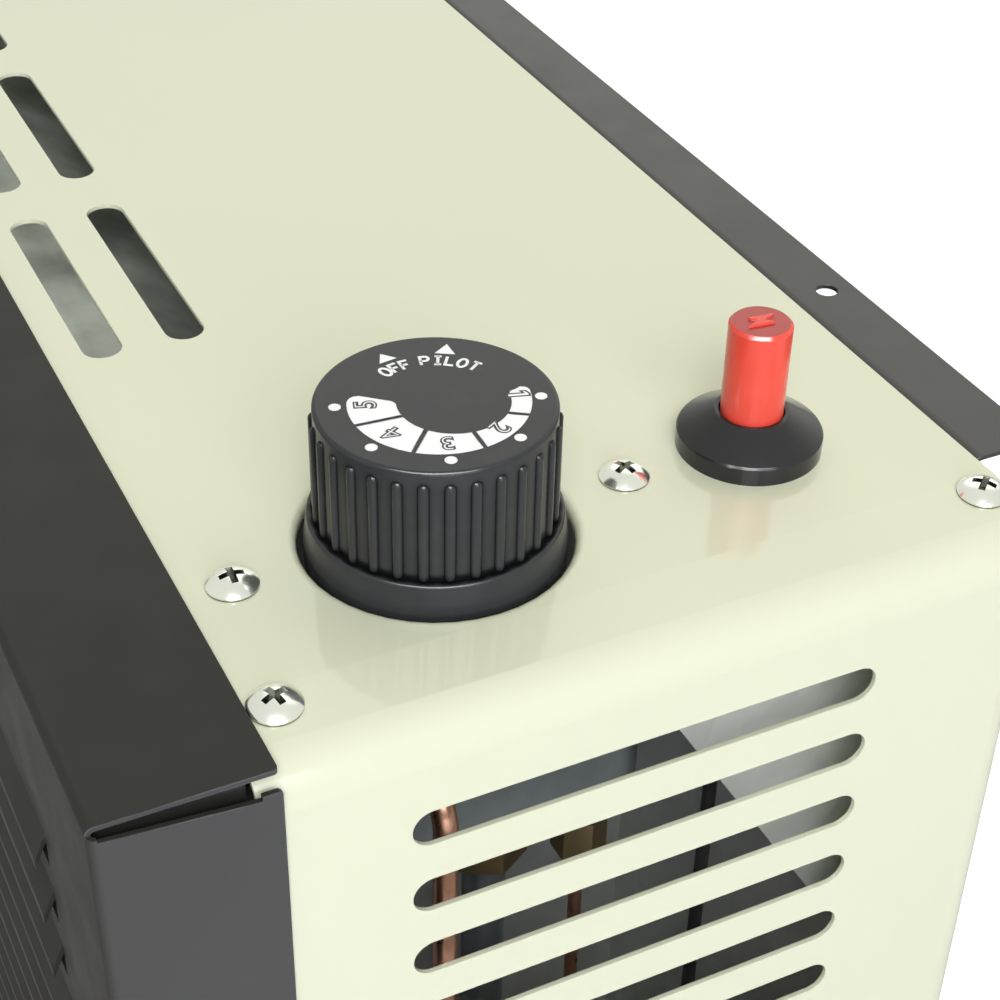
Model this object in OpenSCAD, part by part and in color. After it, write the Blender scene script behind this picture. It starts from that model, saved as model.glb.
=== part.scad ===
// Wall-vented propane room heater: a cream sheet casing with a black louvred front, a sealed combustion
// chamber fed with outside air through its rear collar, and a gas knob and push igniter on the top's right.
// X runs to the right seen from the front, Y to the rear, Z up. Lengths are in millimetres.
// Depths below are measured from the inner face of the front frame.

/* [Casing] */
// Width of the casing over its side faces
cabinet_w = 570; // [550:1:640]
// Height of the casing's top face above the floor
cabinet_h = 600; // [580:1:700]
// Depth of the casing up to its rear edge
cabinet_d = 187; // [187:1:230]
// Thickness of the casing's sheet
sheet_t = 1; // [0.8:0.1:1.4]
// Outer radius of the bend from the top to a side
top_bend_r = 8.5; // [6:0.5:10]
// Outer radius of the bend from a side to its rear return
rear_bend_r = 6.5; // [4:0.5:9]
// Width of a rear return, from the side face inwards
rear_return_w = 38; // [36:1:44]
// Distance of the crease in the top from the side face
crease_inset = 20.5; // [18:0.5:24]
// Slope of the strip between crease and bend, in degrees
crease_tilt = 2.5; // [0.5:0.5:4]

/* [Vents and slots] */
// Length of a vent in the top
vent_l = 65.2; // [50:0.1:75]
// Width of a vent in the top
vent_w = 8.5; // [6:0.1:10]
// Columns of vents
vent_cols = 4; // [2:1:4]
// Distance from one column of vents to the next
vent_pitch_x = 80.5; // [76:0.5:85]
// Distance from one row of vents to the next
vent_pitch_y = 18.1; // [14:0.1:22]
// Depth of the front row of vents
vent_y = 43; // [38:0.5:48]
// Length of a slot in a side
slot_l = 95; // [80:1:110]
// Width of a slot in a side
slot_w = 8; // [6:0.1:10]
// Distance from one slot to the next
slot_pitch = 16.5; // [14:0.5:20]
// Slots in each group, one group high and one low on each side
slot_count = 6; // [3:1:8]
// Depth of the middle of the slots
slot_y = 101.5; // [95:0.5:110]
// Distance of the highest slot's upper edge from the top face
slot_drop = 19.2; // [16:0.1:30]
// Height of the lowest slot's lower edge above the floor
slot_rise = 60; // [50:1:80]

/* [Front] */
// Thickness of the front frame's sheet
frame_t = 1; // [0.8:0.1:1.4]
// Outer radius of the front frame's bends
frame_bend_r = 1.6; // [1.5:0.1:3]
// Width of the frame's border round the louvres
frame_border = 28.5; // [24:0.5:36]
// Depth of the frame's flanges, from its front face
frame_flange = 32.1; // [28:0.1:36]
// Gap between top and side flange at the rear end of each corner
corner_gap = 2.4; // [1:0.1:4]
// Thickness of the louvred sheet
grille_t = 1; // [0.8:0.1:1.4]
// Width of the louvred sheet's edge behind the frame
grille_lap = 12; // [8:0.5:14]
// Distance from one louvre to the next
louvre_pitch = 15; // [13:0.5:20]
// Height of the opening under each louvre
louvre_gap = 6.5; // [5:0.5:8]
// Columns of louvres
louvre_cols = 3; // [2:1:4]
// Width of the plain bars between and beside the columns
louvre_bar = 15; // [10:1:20]
// How far a louvre hood stands out of its sheet
hood_out = 2.6; // [2:0.1:4]
// How far a louvre hood drops from its root to its lip
hood_drop = 6; // [4:0.5:7]

/* [Rear and base] */
// Thickness of the rear panel's sheet
rear_t = 1; // [0.8:0.1:1.4]
// Distance of the rear panel's ends from the side faces
rear_inset = 24; // [22:0.5:26]
// Reach of the rear panel's flanges behind the casing
rear_flange = 17; // [14:0.5:22]
// Outer radius of the rear panel's bends
rear_panel_r = 3; // [2:0.5:4]
// Distance of the rear panel's top flange below the top face
rear_drop = 1; // [0.5:0.1:3]
// Height of the rear panel's lower edge above the floor
rear_rise = 8; // [4:1:14]
// Bore of the hanger holes in the rear flanges
hanger_d = 5; // [4:0.1:7]
// Distance between the two hanger holes of a flange
hanger_spacing = 381.2; // [300:0.2:420]
// Distance of the hanger holes behind the casing
hanger_back = 10.4; // [8:0.1:12]
// Thickness of the base pan's sheet
base_t = 1; // [0.8:0.1:1.4]
// Height of the base pan's turned-up edges
base_lip = 20; // [16:1:30]
// Thickness of the inner galvanised sheets
liner_t = 1; // [0.8:0.1:1.4]
// Distance of the control partition from the right side face
partition_inset = 107; // [100:1:110]
// Distance of the left heat shield from the left side face
shield_inset = 55; // [45:1:58]

/* [Knob and valve] */
// Distance of the knob's axis from the right side face
knob_inset = 49.1; // [44:0.1:54]
// Depth of the knob's axis
knob_y = 80.7; // [78:0.1:84]
// Diameter of the knob's top
knob_d = 44; // [38:0.5:46]
// Height of the knob's top above the casing
knob_h = 28.5; // [24:0.1:34]
// Grip ribs round the knob
knob_ribs = 30; // [20:1:36]
// Width of a grip rib
knob_rib_w = 2.2; // [1.6:0.1:3]
// Diameter of the knob's skirt
skirt_d = 49.4; // [48:0.1:50.5]
// Height of the skirt's shoulder above the casing
skirt_h = 5.3; // [4:0.1:9]
// Bore of the casing's turned-down knob opening
knob_hole_d = 52.2; // [51.8:0.1:56]
// Radius of the opening's turned-down edge
knob_lip_r = 1.8; // [1.5:0.1:3]
// Distance that the knob can be pushed in
push_travel = 5; // [3:0.5:6]
// Diameter of the valve's stem
stem_d = 8; // [6:0.5:10]
// Radial running clearance of the stem
stem_fit = 0.05; // [0.02:0.01:0.1]
// Width of the gas valve's body
valve_w = 40; // [36:1:44]
// Length of the gas valve's body
valve_l = 76; // [70:1:80]
// Height of the gas valve's body
valve_h = 44; // [36:1:50]
// Distance of the valve's top face below the casing's top
valve_drop = 26; // [24:0.5:30]
// Distance of the two bracket screws from the knob's axis
bracket_screw_y = 40; // [39:0.5:43]
// Thickness of the valve bracket
bracket_t = 1.5; // [1:0.1:2]

/* [Igniter] */
// Distance of the igniter's axis to the left of the knob's axis
igniter_dx = -0.2; // [-4:0.1:4]
// Distance of the igniter's axis behind the knob's axis
igniter_dy = 67.9; // [66:0.1:72]
// Diameter of the igniter's collar
collar_d = 29; // [26:0.5:32]
// Height of the collar's straight rim
collar_rim = 4; // [3:0.1:5]
// Height of the collar
collar_h = 8.3; // [7:0.1:10]
// Diameter of the button
button_d = 12.5; // [11:0.1:13]
// Height of the button above the casing
button_h = 28.2; // [24:0.1:32]
// Distance that the button can be pushed
button_travel = 8; // [6:0.5:9]
// Diameter of the igniter's threaded barrel
barrel_d = 18; // [17:0.5:20]
// Length of the barrel below the casing's top face
barrel_l = 22; // [20:0.5:24]
// Length of the spark cartridge below the barrel
cartridge_l = 38; // [34:1:44]

/* [Combustion chamber] */
// Gap between the left shield and the chamber
chamber_gap_left = 29; // [20:1:40]
// Gap between the chamber and the control partition
chamber_gap_right = 28; // [22:1:32]
// Height of the chamber
chamber_h = 420; // [400:1:430]
// Height of the chamber's floor
chamber_z = 110; // [90:1:120]
// Depth of the chamber's front wall
chamber_y = 45; // [44:0.5:50]
// Depth of the joint between the chamber's halves
joint_y = 128; // [126:0.5:132]
// Depth of the chamber's rear wall
chamber_end_y = 148; // [142:0.5:154]
// Thickness of the chamber's sheet
chamber_t = 1.2; // [1:0.1:1.6]
// Corner radius of the chamber
chamber_r = 22; // [15:1:30]
// Width of the joint flanges
joint_flange = 10; // [8:0.5:12]
// Depth of the burner's axis
burner_y = 92; // [90:0.5:94]
// Height of the burner's axis above the chamber's floor
burner_rise = 40; // [36:1:44]
// Diameter of the burner tube
burner_d = 30; // [26:1:34]
// Gap between the burner's closed end and the chamber's left wall
burner_gap = 50; // [38:1:78]
// Flame ports along the burner
burner_ports = 24; // [10:1:28]
// Diameter of the sight glass
glass_d = 52; // [44:1:56]

/* [Vent collars and gas lines] */
// Outer diameter of the flue collar
flue_d = 101.6; // [95:0.1:110]
// Outer diameter of the fresh air collar
intake_d = 168.3; // [160:0.1:176]
// Wall of the collars
collar_t = 1; // [0.8:0.1:1.4]
// Reach of the flue collar behind the casing
flue_out = 53; // [45:1:70]
// Reach of the fresh air collar behind the casing
intake_out = 45; // [35:1:45]
// Height of the collars' axis
vent_z = 400; // [380:1:405]
// Diameter of the main gas tube
inlet_tube_d = 12.7; // [10:0.1:14]
// Diameter of the burner's gas tube
feed_tube_d = 9.5; // [8:0.1:11]
// Diameter of the pilot tube
pilot_tube_d = 4.8; // [4:0.1:6]
// Diameter of the inlet fitting's flare end
flare_d = 15.88; // [12:0.01:17]

/* [Screws] */
// Head diameter of the casing screws
head_d = 9.9; // [8:0.1:11]
// Head height of the casing screws
head_h = 2.8; // [2:0.1:3.5]
// Shank diameter of the casing screws
shank_d = 4; // [3:0.1:4.5]
// Radial clearance of screws in their holes
hole_fit = 0.15; // [0.1:0.01:0.3]

/* [Hidden] */
$fn = 64;

// Colours
cream = [0.90, 0.91, 0.80];
black = [0.16, 0.16, 0.15];
galvanised = [0.62, 0.65, 0.66];
charcoal = [0.20, 0.20, 0.21];
red = [0.90, 0.18, 0.14];
zinc = [0.78, 0.79, 0.80];
brass = [0.78, 0.62, 0.30];
copper = [0.72, 0.42, 0.28];
cast = [0.70, 0.71, 0.70];
enamel = [0.22, 0.22, 0.23];
pale = [0.85, 0.85, 0.83];
fibre = [0.80, 0.78, 0.72];

// How far cutters pass through the faces that they cut
over = 1;
// Gap left between curved faces of pieces that don't move together
clear = 0.3;
// Gap between a tube and the hole that holds it
tube_fit = 0.1;

// Casing
half_w = cabinet_w / 2;
under_z = cabinet_h - sheet_t;
crease_x = half_w - crease_inset;
bend_x = half_w - top_bend_r;
edge_screw_in = 4.4;
strip_end_x = bend_x + top_bend_r * sin(crease_tilt);
bend_z = cabinet_h - (strip_end_x - crease_x) * tan(crease_tilt) - top_bend_r * cos(crease_tilt);
return_top = bend_z - 6;
wrap_front = frame_bend_r - frame_t;
corner_back = frame_flange - frame_t - 4;
edge_screw_x = crease_x + edge_screw_in;
rear_screw_inset = 5.8;
rim_share = 0.16;
top_turn = [-2, 22];
edge_turn = [18, 40];
lip_depth = 1;
frame_screw_y = 16;
frame_screw_drop = 100;
base_screw_y = [50, cabinet_d - 30];

// Front frame and louvres
frame_half = half_w + frame_t;
frame_top = cabinet_h + frame_t;
frame_end = frame_flange - frame_t;
front_screw_y = frame_end + head_d / 2 + 0.2;
open_half = frame_half - frame_border;
open_h = frame_top - 2 * frame_border;
louvre_rows = floor((open_h - louvre_bar) / louvre_pitch);
louvre_w = (2 * open_half - (louvre_cols + 1) * louvre_bar) / louvre_cols;
hood_root = 2.5;
tab_l = 3.5;
tab_rise = 1;
tab_r = 0.6;
corner_tab_inset = 2.4;
tip_r = 1;

// Whole depth, which sets the middle of the part
front_y = -max(hood_out, frame_t);
end_y = cabinet_d + flue_out;
mid_y = (front_y + end_y) / 2;

// Rear panel, base and liners
rear_half = half_w - rear_inset;
rear_top = cabinet_h - rear_drop;
rear_corner = 8;
edge_root = 2;
rear_screw_x = rear_half - rear_panel_r - head_d * 0.4 - 1;
rear_screw_z = [60, cabinet_h / 2, cabinet_h - 60];
base_front = frame_end + 0.4;
pan_l = cabinet_d - base_front;
rear_lip_half = half_w - rear_return_w - 1;
partition_x = half_w - partition_inset;
seam_x = partition_x + 20;
seam_h = 8;
hose_hole_d = 44;
shield_x = -half_w + shield_inset;
liner_lip = 12;
wing_y = 161;
wing_x = half_w - 12;
wing_drop = 18;
gusset_l = 56;
gusset_h = 92;
deflector_drop = 9;
deflector_fall = 24;
deflector_end = 95;
rail_w = 10.5;
rail_web = 12;

// Knob, stem and valve
knob_x = half_w - knob_inset;
knob_r = knob_d / 2;
knob_wall = 2.4;
knob_cap = 3;
knob_bevel = 0.8;
rim_grow = 0.15;
skirt_edge = 0.6;
shoulder_r = skirt_d / 2 - 0.7;
skirt_depth = 6;
hub_d = 16;
hub_depth = 10;
stem_top = knob_h - 9;
seat_t = 1.2;
seat_d = 19;
neck_d = 26;
neck_rise = 2;
boss_d = 12;
valve_top = cabinet_h - valve_drop;
valve_z = valve_top - valve_h;
boss_top = cabinet_h - hub_depth - seat_t - push_travel - 1.3;
stem_low = valve_top - 14;
spring_low = valve_top + neck_rise;
spring_high = cabinet_h - hub_depth - seat_t;
knob_wire = 1.2;
knob_turns = 4;
rib_count_angle = 360 / knob_ribs;
valve_screw_y = 25;
leg_y = bracket_screw_y - 8;
bracket_w = 28;
port_boss = 8;
nut_h = 11;
inlet_y = knob_y - 20.2;
couple_x = knob_x + 8;
couple_y = knob_y + 29.8;
sense_x = knob_x - 14;
sense_y = knob_y - 32;
pilot_port_y = knob_y - 14;
pilot_port_z = valve_top - 7;
pilot_drop_x = knob_x + 35;

// Igniter
igniter_x = knob_x - igniter_dx;
igniter_y = knob_y + igniter_dy;
button_bore = button_d / 2 + clear;
button_low = -10;
button_edge = 0.6;
sign_h = 0.5;
button_wire = 0.9;
button_turns = 5;
cartridge_top = cabinet_h - barrel_l;
cartridge_low = cartridge_top - cartridge_l;
boot_l = 14;
terminal_d = 7.4;
terminal_l = 9;

// Combustion chamber and what it holds
chamber_left = shield_x + liner_t + chamber_gap_left;
chamber_right = partition_x - chamber_gap_right;
chamber_w = chamber_right - chamber_left;
chamber_x = (chamber_right + chamber_left) / 2;
chamber_mid_z = chamber_z + chamber_h / 2;
burner_z = chamber_z + burner_rise;
service_z = chamber_z + 85;
service_w = 50;
service_h = 30;
service_rim = 8;
gasket_t = 1.5;
plate_t = 1.5;
plate_x = chamber_right + gasket_t;
pilot_y = burner_y - 9;
pilot_z = service_z - 3;
tip_z = service_z + 5;
spark_y = burner_y + 16;
bracket_x = chamber_right - 40;
feed_gap = 22;
burner_right = chamber_right - feed_gap;
burner_l = burner_right - chamber_left - burner_gap;
prop_inset = [30, 45];
prop_w = 28;
prop_x = [burner_right - burner_l + prop_inset[0], burner_right - prop_inset[1]];
port_inset = 15;
port_end = 35;
air_slot_l = 160;
air_slot_w = 25;
air_slot_rise = 5;
leg_w = 18;
leg_l = 65;
leg_inset = 15;
pilot_head_d = 10;
tip_d = 6;
insulator_d = 7;
spark_wire = 1.8;
spark_reach = 14;
couple_reach = 45;
lead_reach = 40;
orifice_end = chamber_right + 20;
glass_x = chamber_right - 50;
glass_z = chamber_z + 55;
glass_t = 2.5;
glass_rim = 6;
frame_lip = 1.2;

// Fresh air box and collars
box_half = 110;
box_low = chamber_z + 20;
box_high = vent_z + 108;
box_end = cabinet_d - 2;
collar_flange = 14;
vent_neck = 14;
vent_step = 0.5;
intake_bore = intake_d - 4 * collar_t - 2 * tube_fit;
flue_bore = flue_d - 4 * collar_t - 2 * tube_fit;
neck_hole = intake_d - 2 * collar_t + 2 * clear;

// Gas lines
tube_wall = 0.9;
line_bend = 20;
thin_bend = 8;
function jog(from, to) = min(thin_bend, abs(from - to) / 2 - tube_fit);
regulator_z = 52;
regulator_h = 34;
fitting_low = 10;
flare_l = 26;
couple_d = 3;
lead_d = 3.2;
sense_d = 2;
bulb_d = 10;
bulb_x = partition_x + liner_t + 7;
bulb_y = 30;
bulb_z = [40, 120];
bulb_rise = 60;

// Sets a piece in the part's own frame, with its middle over the origin
module in_frame() {
    translate([0, -mid_y, 0]) children();
}

// Draws an outline of X and Z and carries it back along Y
module along_y(length) {
    rotate([90, 0, 0]) translate([0, 0, -length]) linear_extrude(length) children();
}

// Draws an outline of Y and Z and carries it along X
module along_x(length) {
    rotate([90, 0, 90]) linear_extrude(length) children();
}

// Flat rectangle with round corners, round its own middle
module round_rect(w, h, r) {
    square([w - 2 * r, h], center = true);
    square([w, h - 2 * r], center = true);
    for (x = [-1, 1], y = [-1, 1])
        translate([x * (w / 2 - r), y * (h / 2 - r)]) circle(r);
}

// Slot with round ends, along its own first axis
module slot_shape(l, w) {
    square([l - w, w], center = true);
    for (x = [-1, 1]) translate([x * (l - w) / 2, 0]) circle(w / 2);
}

// Quarter of a bent sheet's section, in the positive quadrant
module bend_shape(r, t) {
    intersection() {
        difference() {
            circle(r);
            circle(r - t);
        }
        square(r + over);
    }
}

// Tube along a list of points, with every corner bent to one radius
function unit(v) = v / norm(v);
function turn_angle(a, b) = acos(min(1, max(-1, a * b)));
module rod_between(a, b, d, bore = 0) {
    way = unit(b - a);
    translate(a) rotate([0, acos(way.z), atan2(way.y, way.x)])
        linear_extrude(norm(b - a)) tube_shape(d, bore);
}
module tube_shape(d, bore) {
    difference() {
        circle(d = d);
        if (bore > 0) circle(d = bore);
    }
}
module elbow(corner, a, b, d, r, bore) {
    angle = turn_angle(a, b);
    inward = unit(b - a * (a * b));
    middle = corner - a * r * tan(angle / 2) + inward * r;
    up = cross(a, inward);
    multmatrix([
        [-inward.x, a.x, up.x, middle.x],
        [-inward.y, a.y, up.y, middle.y],
        [-inward.z, a.z, up.z, middle.z],
        [0, 0, 0, 1]
    ]) rotate_extrude(angle = angle) translate([r, 0]) tube_shape(d, bore);
}
module pipe(path, d, r, bore = 0) {
    last = len(path) - 1;
    ways = [for (i = [0 : last - 1]) unit(path[i + 1] - path[i])];
    trims = [for (i = [0 : last]) i == 0 || i == last ? 0 : r * tan(turn_angle(ways[i - 1], ways[i]) / 2)];
    for (i = [0 : last - 1])
        rod_between(path[i] + ways[i] * trims[i], path[i + 1] - ways[i] * trims[i + 1], d, bore);
    for (i = [1 : last - 1]) elbow(path[i], ways[i - 1], ways[i], d, r, bore);
}

// Helical spring of round wire, standing on its lower end
coil_rings = 8;
coil_sides = 6;
function coil_middle(r, wire, l, turns, i) =
    let (a = 360 * i / coil_rings)
    [r * cos(a), r * sin(a), wire / 2 + (l - wire) * i / (coil_rings * turns)];
function coil_gap(r, wire, l, turns) =
    let (n = coil_rings * turns, half = coil_rings / 2)
    min([for (i = [0 : n - half], j = [i + half : n])
        norm(coil_middle(r, wire, l, turns, i) - coil_middle(r, wire, l, turns, j))]) - wire;
module coil(r, wire, l, turns) {
    n = coil_rings * turns;
    points = [for (i = [0 : n], k = [0 : coil_sides - 1])
        let (a = 360 * i / coil_rings, b = 360 * k / coil_sides, m = coil_middle(r, wire, l, turns, i))
        m + wire / 2 * [cos(b) * cos(a), cos(b) * sin(a), sin(b)]];
    wall = [for (i = [0 : n - 1], k = [0 : coil_sides - 1])
        let (p = i * coil_sides + k, q = i * coil_sides + (k + 1) % coil_sides, s = coil_sides)
        each [[p, q, q + s], [p, q + s, p + s]]];
    ends = [for (k = [1 : coil_sides - 2])
        each [[0, k + 1, k], [n * coil_sides, n * coil_sides + k, n * coil_sides + k + 1]]];
    polyhedron(points, concat(wall, ends));
}

// Screw with a low dome on a thin rim and a cross recess, its head's seat on the floor
module screw(d, h, shank, length) {
    rise = h * (1 - rim_share);
    dome_r = (d * d / 4 + rise * rise) / (2 * rise);
    flute_r = d * 0.24;
    flute_w = d * 0.13;
    flute_z = h - dome_r + sqrt(dome_r * dome_r - flute_r * flute_r);
    slope = atan(h * 0.7 / flute_r);
    flute_l = flute_r / cos(slope);
    difference() {
        rotate_extrude() intersection() {
            translate([0, h - dome_r]) circle(dome_r);
            square([d / 2, h]);
        }
        for (a = [0 : 90 : 270]) rotate(a) translate([flute_r, 0, flute_z]) rotate([0, -slope, 0])
            translate([-flute_l, -flute_w / 2, 0]) cube([flute_l, flute_w, d]);
    }
    translate([0, 0, -length]) cylinder(d = shank, h = length + h / 4);
}

// Places of the casing's screws
module at_top_screws() {
    for (i = [0, 1]) translate([
        knob_x,
        knob_y + (2 * i - 1) * bracket_screw_y,
        cabinet_h
    ]) rotate(top_turn[i]) children();
}
module at_edge_screws() {
    screw_y = [front_screw_y, cabinet_d - rear_screw_inset];
    for (s = [-1, 1], i = [0, 1])
        translate([s * crease_x, screw_y[i], cabinet_h]) rotate([0, s * crease_tilt, 0])
            translate([s * (edge_screw_x - crease_x), 0, 0]) rotate(edge_turn[i]) children();
}
module at_frame_screws() {
    for (s = [-1, 1], z = [frame_screw_drop, cabinet_h - frame_screw_drop])
        translate([s * frame_half, frame_screw_y, z]) rotate([0, s * 90, 0]) children();
}
module at_base_screws() {
    for (s = [-1, 1], y = base_screw_y)
        translate([s * half_w, y, frame_t + base_lip / 2]) rotate([0, s * 90, 0]) children();
}
module at_rear_screws() {
    for (s = [-1, 1], z = rear_screw_z)
        translate([s * rear_screw_x, cabinet_d + rear_t, z]) rotate([-90, 0, 0]) children();
}

// Hole for a casing screw, through every sheet near it
module screw_hole() {
    translate([0, 0, -6]) cylinder(r = shank_d / 2 + hole_fit, h = 12);
}

// Outline of the right half of the casing: flat top, sloped strip, bend and side
module wrap_half() {
    tangent = [sin(crease_tilt), cos(crease_tilt)];
    middle = [bend_x, bend_z];
    translate([0, under_z]) square([crease_x, sheet_t]);
    polygon([
        [crease_x, cabinet_h],
        middle + top_bend_r * tangent,
        middle + (top_bend_r - sheet_t) * tangent,
        [crease_x - sheet_t * tan(crease_tilt / 2), under_z]
    ]);
    translate(middle) intersection() {
        difference() {
            circle(top_bend_r);
            circle(top_bend_r - sheet_t);
        }
        polygon([[0, 0], [2, 0] * top_bend_r, [2, 2] * top_bend_r, 2 * top_bend_r * tangent]);
    }
    translate([half_w - sheet_t, frame_t]) square([sheet_t, bend_z - frame_t]);
}

// Bent return along the rear edge of the right side
module rear_return_shape() {
    translate([half_w - rear_bend_r, cabinet_d - rear_bend_r]) bend_shape(rear_bend_r, sheet_t);
    translate([half_w - rear_return_w, cabinet_d - sheet_t]) square([rear_return_w - rear_bend_r, sheet_t]);
}

// Turned-down edge of the knob opening
module knob_lip() {
    lip_x = knob_hole_d / 2 + knob_lip_r;
    lip_z = cabinet_h - knob_lip_r;
    translate([knob_x, knob_y, 0]) rotate_extrude() {
        translate([lip_x, lip_z]) mirror([1, 0]) bend_shape(knob_lip_r, sheet_t);
        translate([knob_hole_d / 2, lip_z - lip_depth]) square([sheet_t, lip_depth]);
    }
}

// Vents of the top and slots of the sides, as cutters
module casing_vents() {
    for (i = [0 : vent_cols - 1], j = [0, 1])
        translate([(i - (vent_cols - 1) / 2) * vent_pitch_x, vent_y + j * vent_pitch_y, under_z - over])
            linear_extrude(sheet_t + 2 * over) slot_shape(vent_l, vent_w);
    for (i = [0 : slot_count - 1], z = [
        cabinet_h - slot_drop - slot_w / 2 - i * slot_pitch,
        slot_rise + slot_w / 2 + i * slot_pitch
    ])
        translate([-half_w - over, slot_y, z]) along_x(cabinet_w + 2 * over) slot_shape(slot_l, slot_w);
}

module cabinet_wrap() {
    color(cream) in_frame() {
        difference() {
            translate([0, wrap_front, 0]) along_y(cabinet_d - wrap_front) {
                wrap_half();
                mirror([1, 0]) wrap_half();
            }
            for (s = [-1, 1])
                translate([s * half_w - sheet_t - over, cabinet_d - rear_bend_r, 0])
                    cube([2 * (sheet_t + over), rear_bend_r + over, return_top]);
            translate([knob_x, knob_y, under_z - over])
                cylinder(r = knob_hole_d / 2 + knob_lip_r, h = sheet_t + 2 * over);
            translate([igniter_x, igniter_y, under_z - over])
                cylinder(r = barrel_d / 2 + clear, h = sheet_t + 2 * over);
            for (s = [0, 1]) mirror([s, 0, 0]) translate([bend_x - 3, -over, bend_z - 1])
                cube([top_bend_r + 4, corner_back + over, 2 * top_bend_r]);
            casing_vents();
            at_top_screws() screw_hole();
            at_edge_screws() screw_hole();
            at_frame_screws() screw_hole();
            at_base_screws() screw_hole();
        }
        difference() {
            for (s = [0, 1]) mirror([s, 0, 0])
                translate([0, 0, frame_t]) linear_extrude(return_top - frame_t) rear_return_shape();
            at_rear_screws() screw_hole();
        }
        knob_lip();
    }
}

// Flange and bend of the front frame's upper or lower edge, in Y and Z, for the upper edge
module frame_edge_shape() {
    translate([frame_bend_r - frame_t, frame_top - frame_bend_r]) mirror([1, 0])
        bend_shape(frame_bend_r, frame_t);
    translate([frame_bend_r - frame_t, cabinet_h]) square([frame_end - frame_bend_r + frame_t, frame_t]);
}

module front_frame() {
    face_half = frame_half - frame_bend_r;
    flange_y = frame_bend_r - frame_t;
    color(black) in_frame() difference() {
        union() {
            difference() {
                translate([-face_half, -frame_t, frame_bend_r])
                    cube([2 * face_half, frame_t, frame_top - 2 * frame_bend_r]);
                translate([0, -frame_t - over, frame_top / 2]) along_y(frame_t + 2 * over)
                    round_rect(2 * open_half, open_h, 3);
            }
            translate([-face_half, 0, 0]) along_x(2 * face_half) {
                frame_edge_shape();
                translate([0, frame_top]) mirror([0, 1]) frame_edge_shape();
            }
            for (s = [0, 1]) mirror([s, 0, 0]) {
                translate([face_half, flange_y, frame_bend_r]) mirror([0, 1, 0])
                    linear_extrude(frame_top - 2 * frame_bend_r) bend_shape(frame_bend_r, frame_t);
                translate([half_w, 0, 0]) along_x(frame_t) polygon([
                    [flange_y, frame_bend_r],
                    [frame_end, frame_bend_r],
                    [frame_end, cabinet_h - corner_gap - tab_r],
                    [frame_end - tab_r, cabinet_h - corner_gap],
                    [frame_end - tab_l, cabinet_h - corner_gap],
                    [frame_end - tab_l, cabinet_h - corner_gap - tab_rise],
                    [flange_y, frame_top - frame_bend_r - tab_rise / 2]
                ]);
                translate([face_half - corner_tab_inset - frame_t, flange_y, bend_z + tab_r])
                    cube([frame_t, corner_back - flange_y - tab_rise, frame_top - bend_z - tab_r]);
            }
        }
        for (s = [0, 1]) mirror([s, 0, 0]) translate([face_half - tip_r, frame_end - tip_r, -over])
            linear_extrude(frame_top + 2 * over) difference() {
                square(tip_r + frame_t / 2);
                circle(tip_r);
            }
        at_frame_screws() screw_hole();
    }
}

// One louvre's hood, with its root in the sheet above the opening
module hood_shape() {
    polygon([
        [grille_t, 0],
        [grille_t, hood_root],
        [0, hood_root],
        [-hood_out, hood_root - hood_drop],
        [-hood_out, -hood_drop],
        [0, 0]
    ]);
}

module front_grille() {
    sheet_w = 2 * (open_half + grille_lap);
    sheet_h = open_h + 2 * grille_lap;
    first_z = frame_top / 2 - (louvre_rows - 1) / 2 * louvre_pitch + louvre_gap / 2;
    color(black) in_frame() {
        difference() {
            translate([0, 0, frame_top / 2]) along_y(grille_t) square([sheet_w, sheet_h], center = true);
            for (c = [0 : louvre_cols - 1], r = [0 : louvre_rows - 1])
                translate([
                    -open_half + louvre_bar + c * (louvre_w + louvre_bar),
                    -over,
                    first_z + r * louvre_pitch - louvre_gap
                ]) cube([louvre_w, grille_t + 2 * over, louvre_gap]);
        }
        for (c = [0 : louvre_cols - 1], r = [0 : louvre_rows - 1])
            translate([-open_half + louvre_bar + c * (louvre_w + louvre_bar), 0, first_z + r * louvre_pitch])
                along_x(louvre_w) hood_shape();
    }
}

// Flange and bend of the rear panel's edge in its own section, from the panel's face to the flange's end
module rear_edge_shape(edge) {
    root = edge - rear_panel_r;
    translate([cabinet_d, root - edge_root]) square([rear_t, edge_root]);
    translate([cabinet_d + rear_panel_r, root]) mirror([1, 0]) bend_shape(rear_panel_r, rear_t);
    translate([cabinet_d + rear_panel_r, edge - rear_t]) square([rear_flange - rear_panel_r, rear_t]);
}

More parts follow.
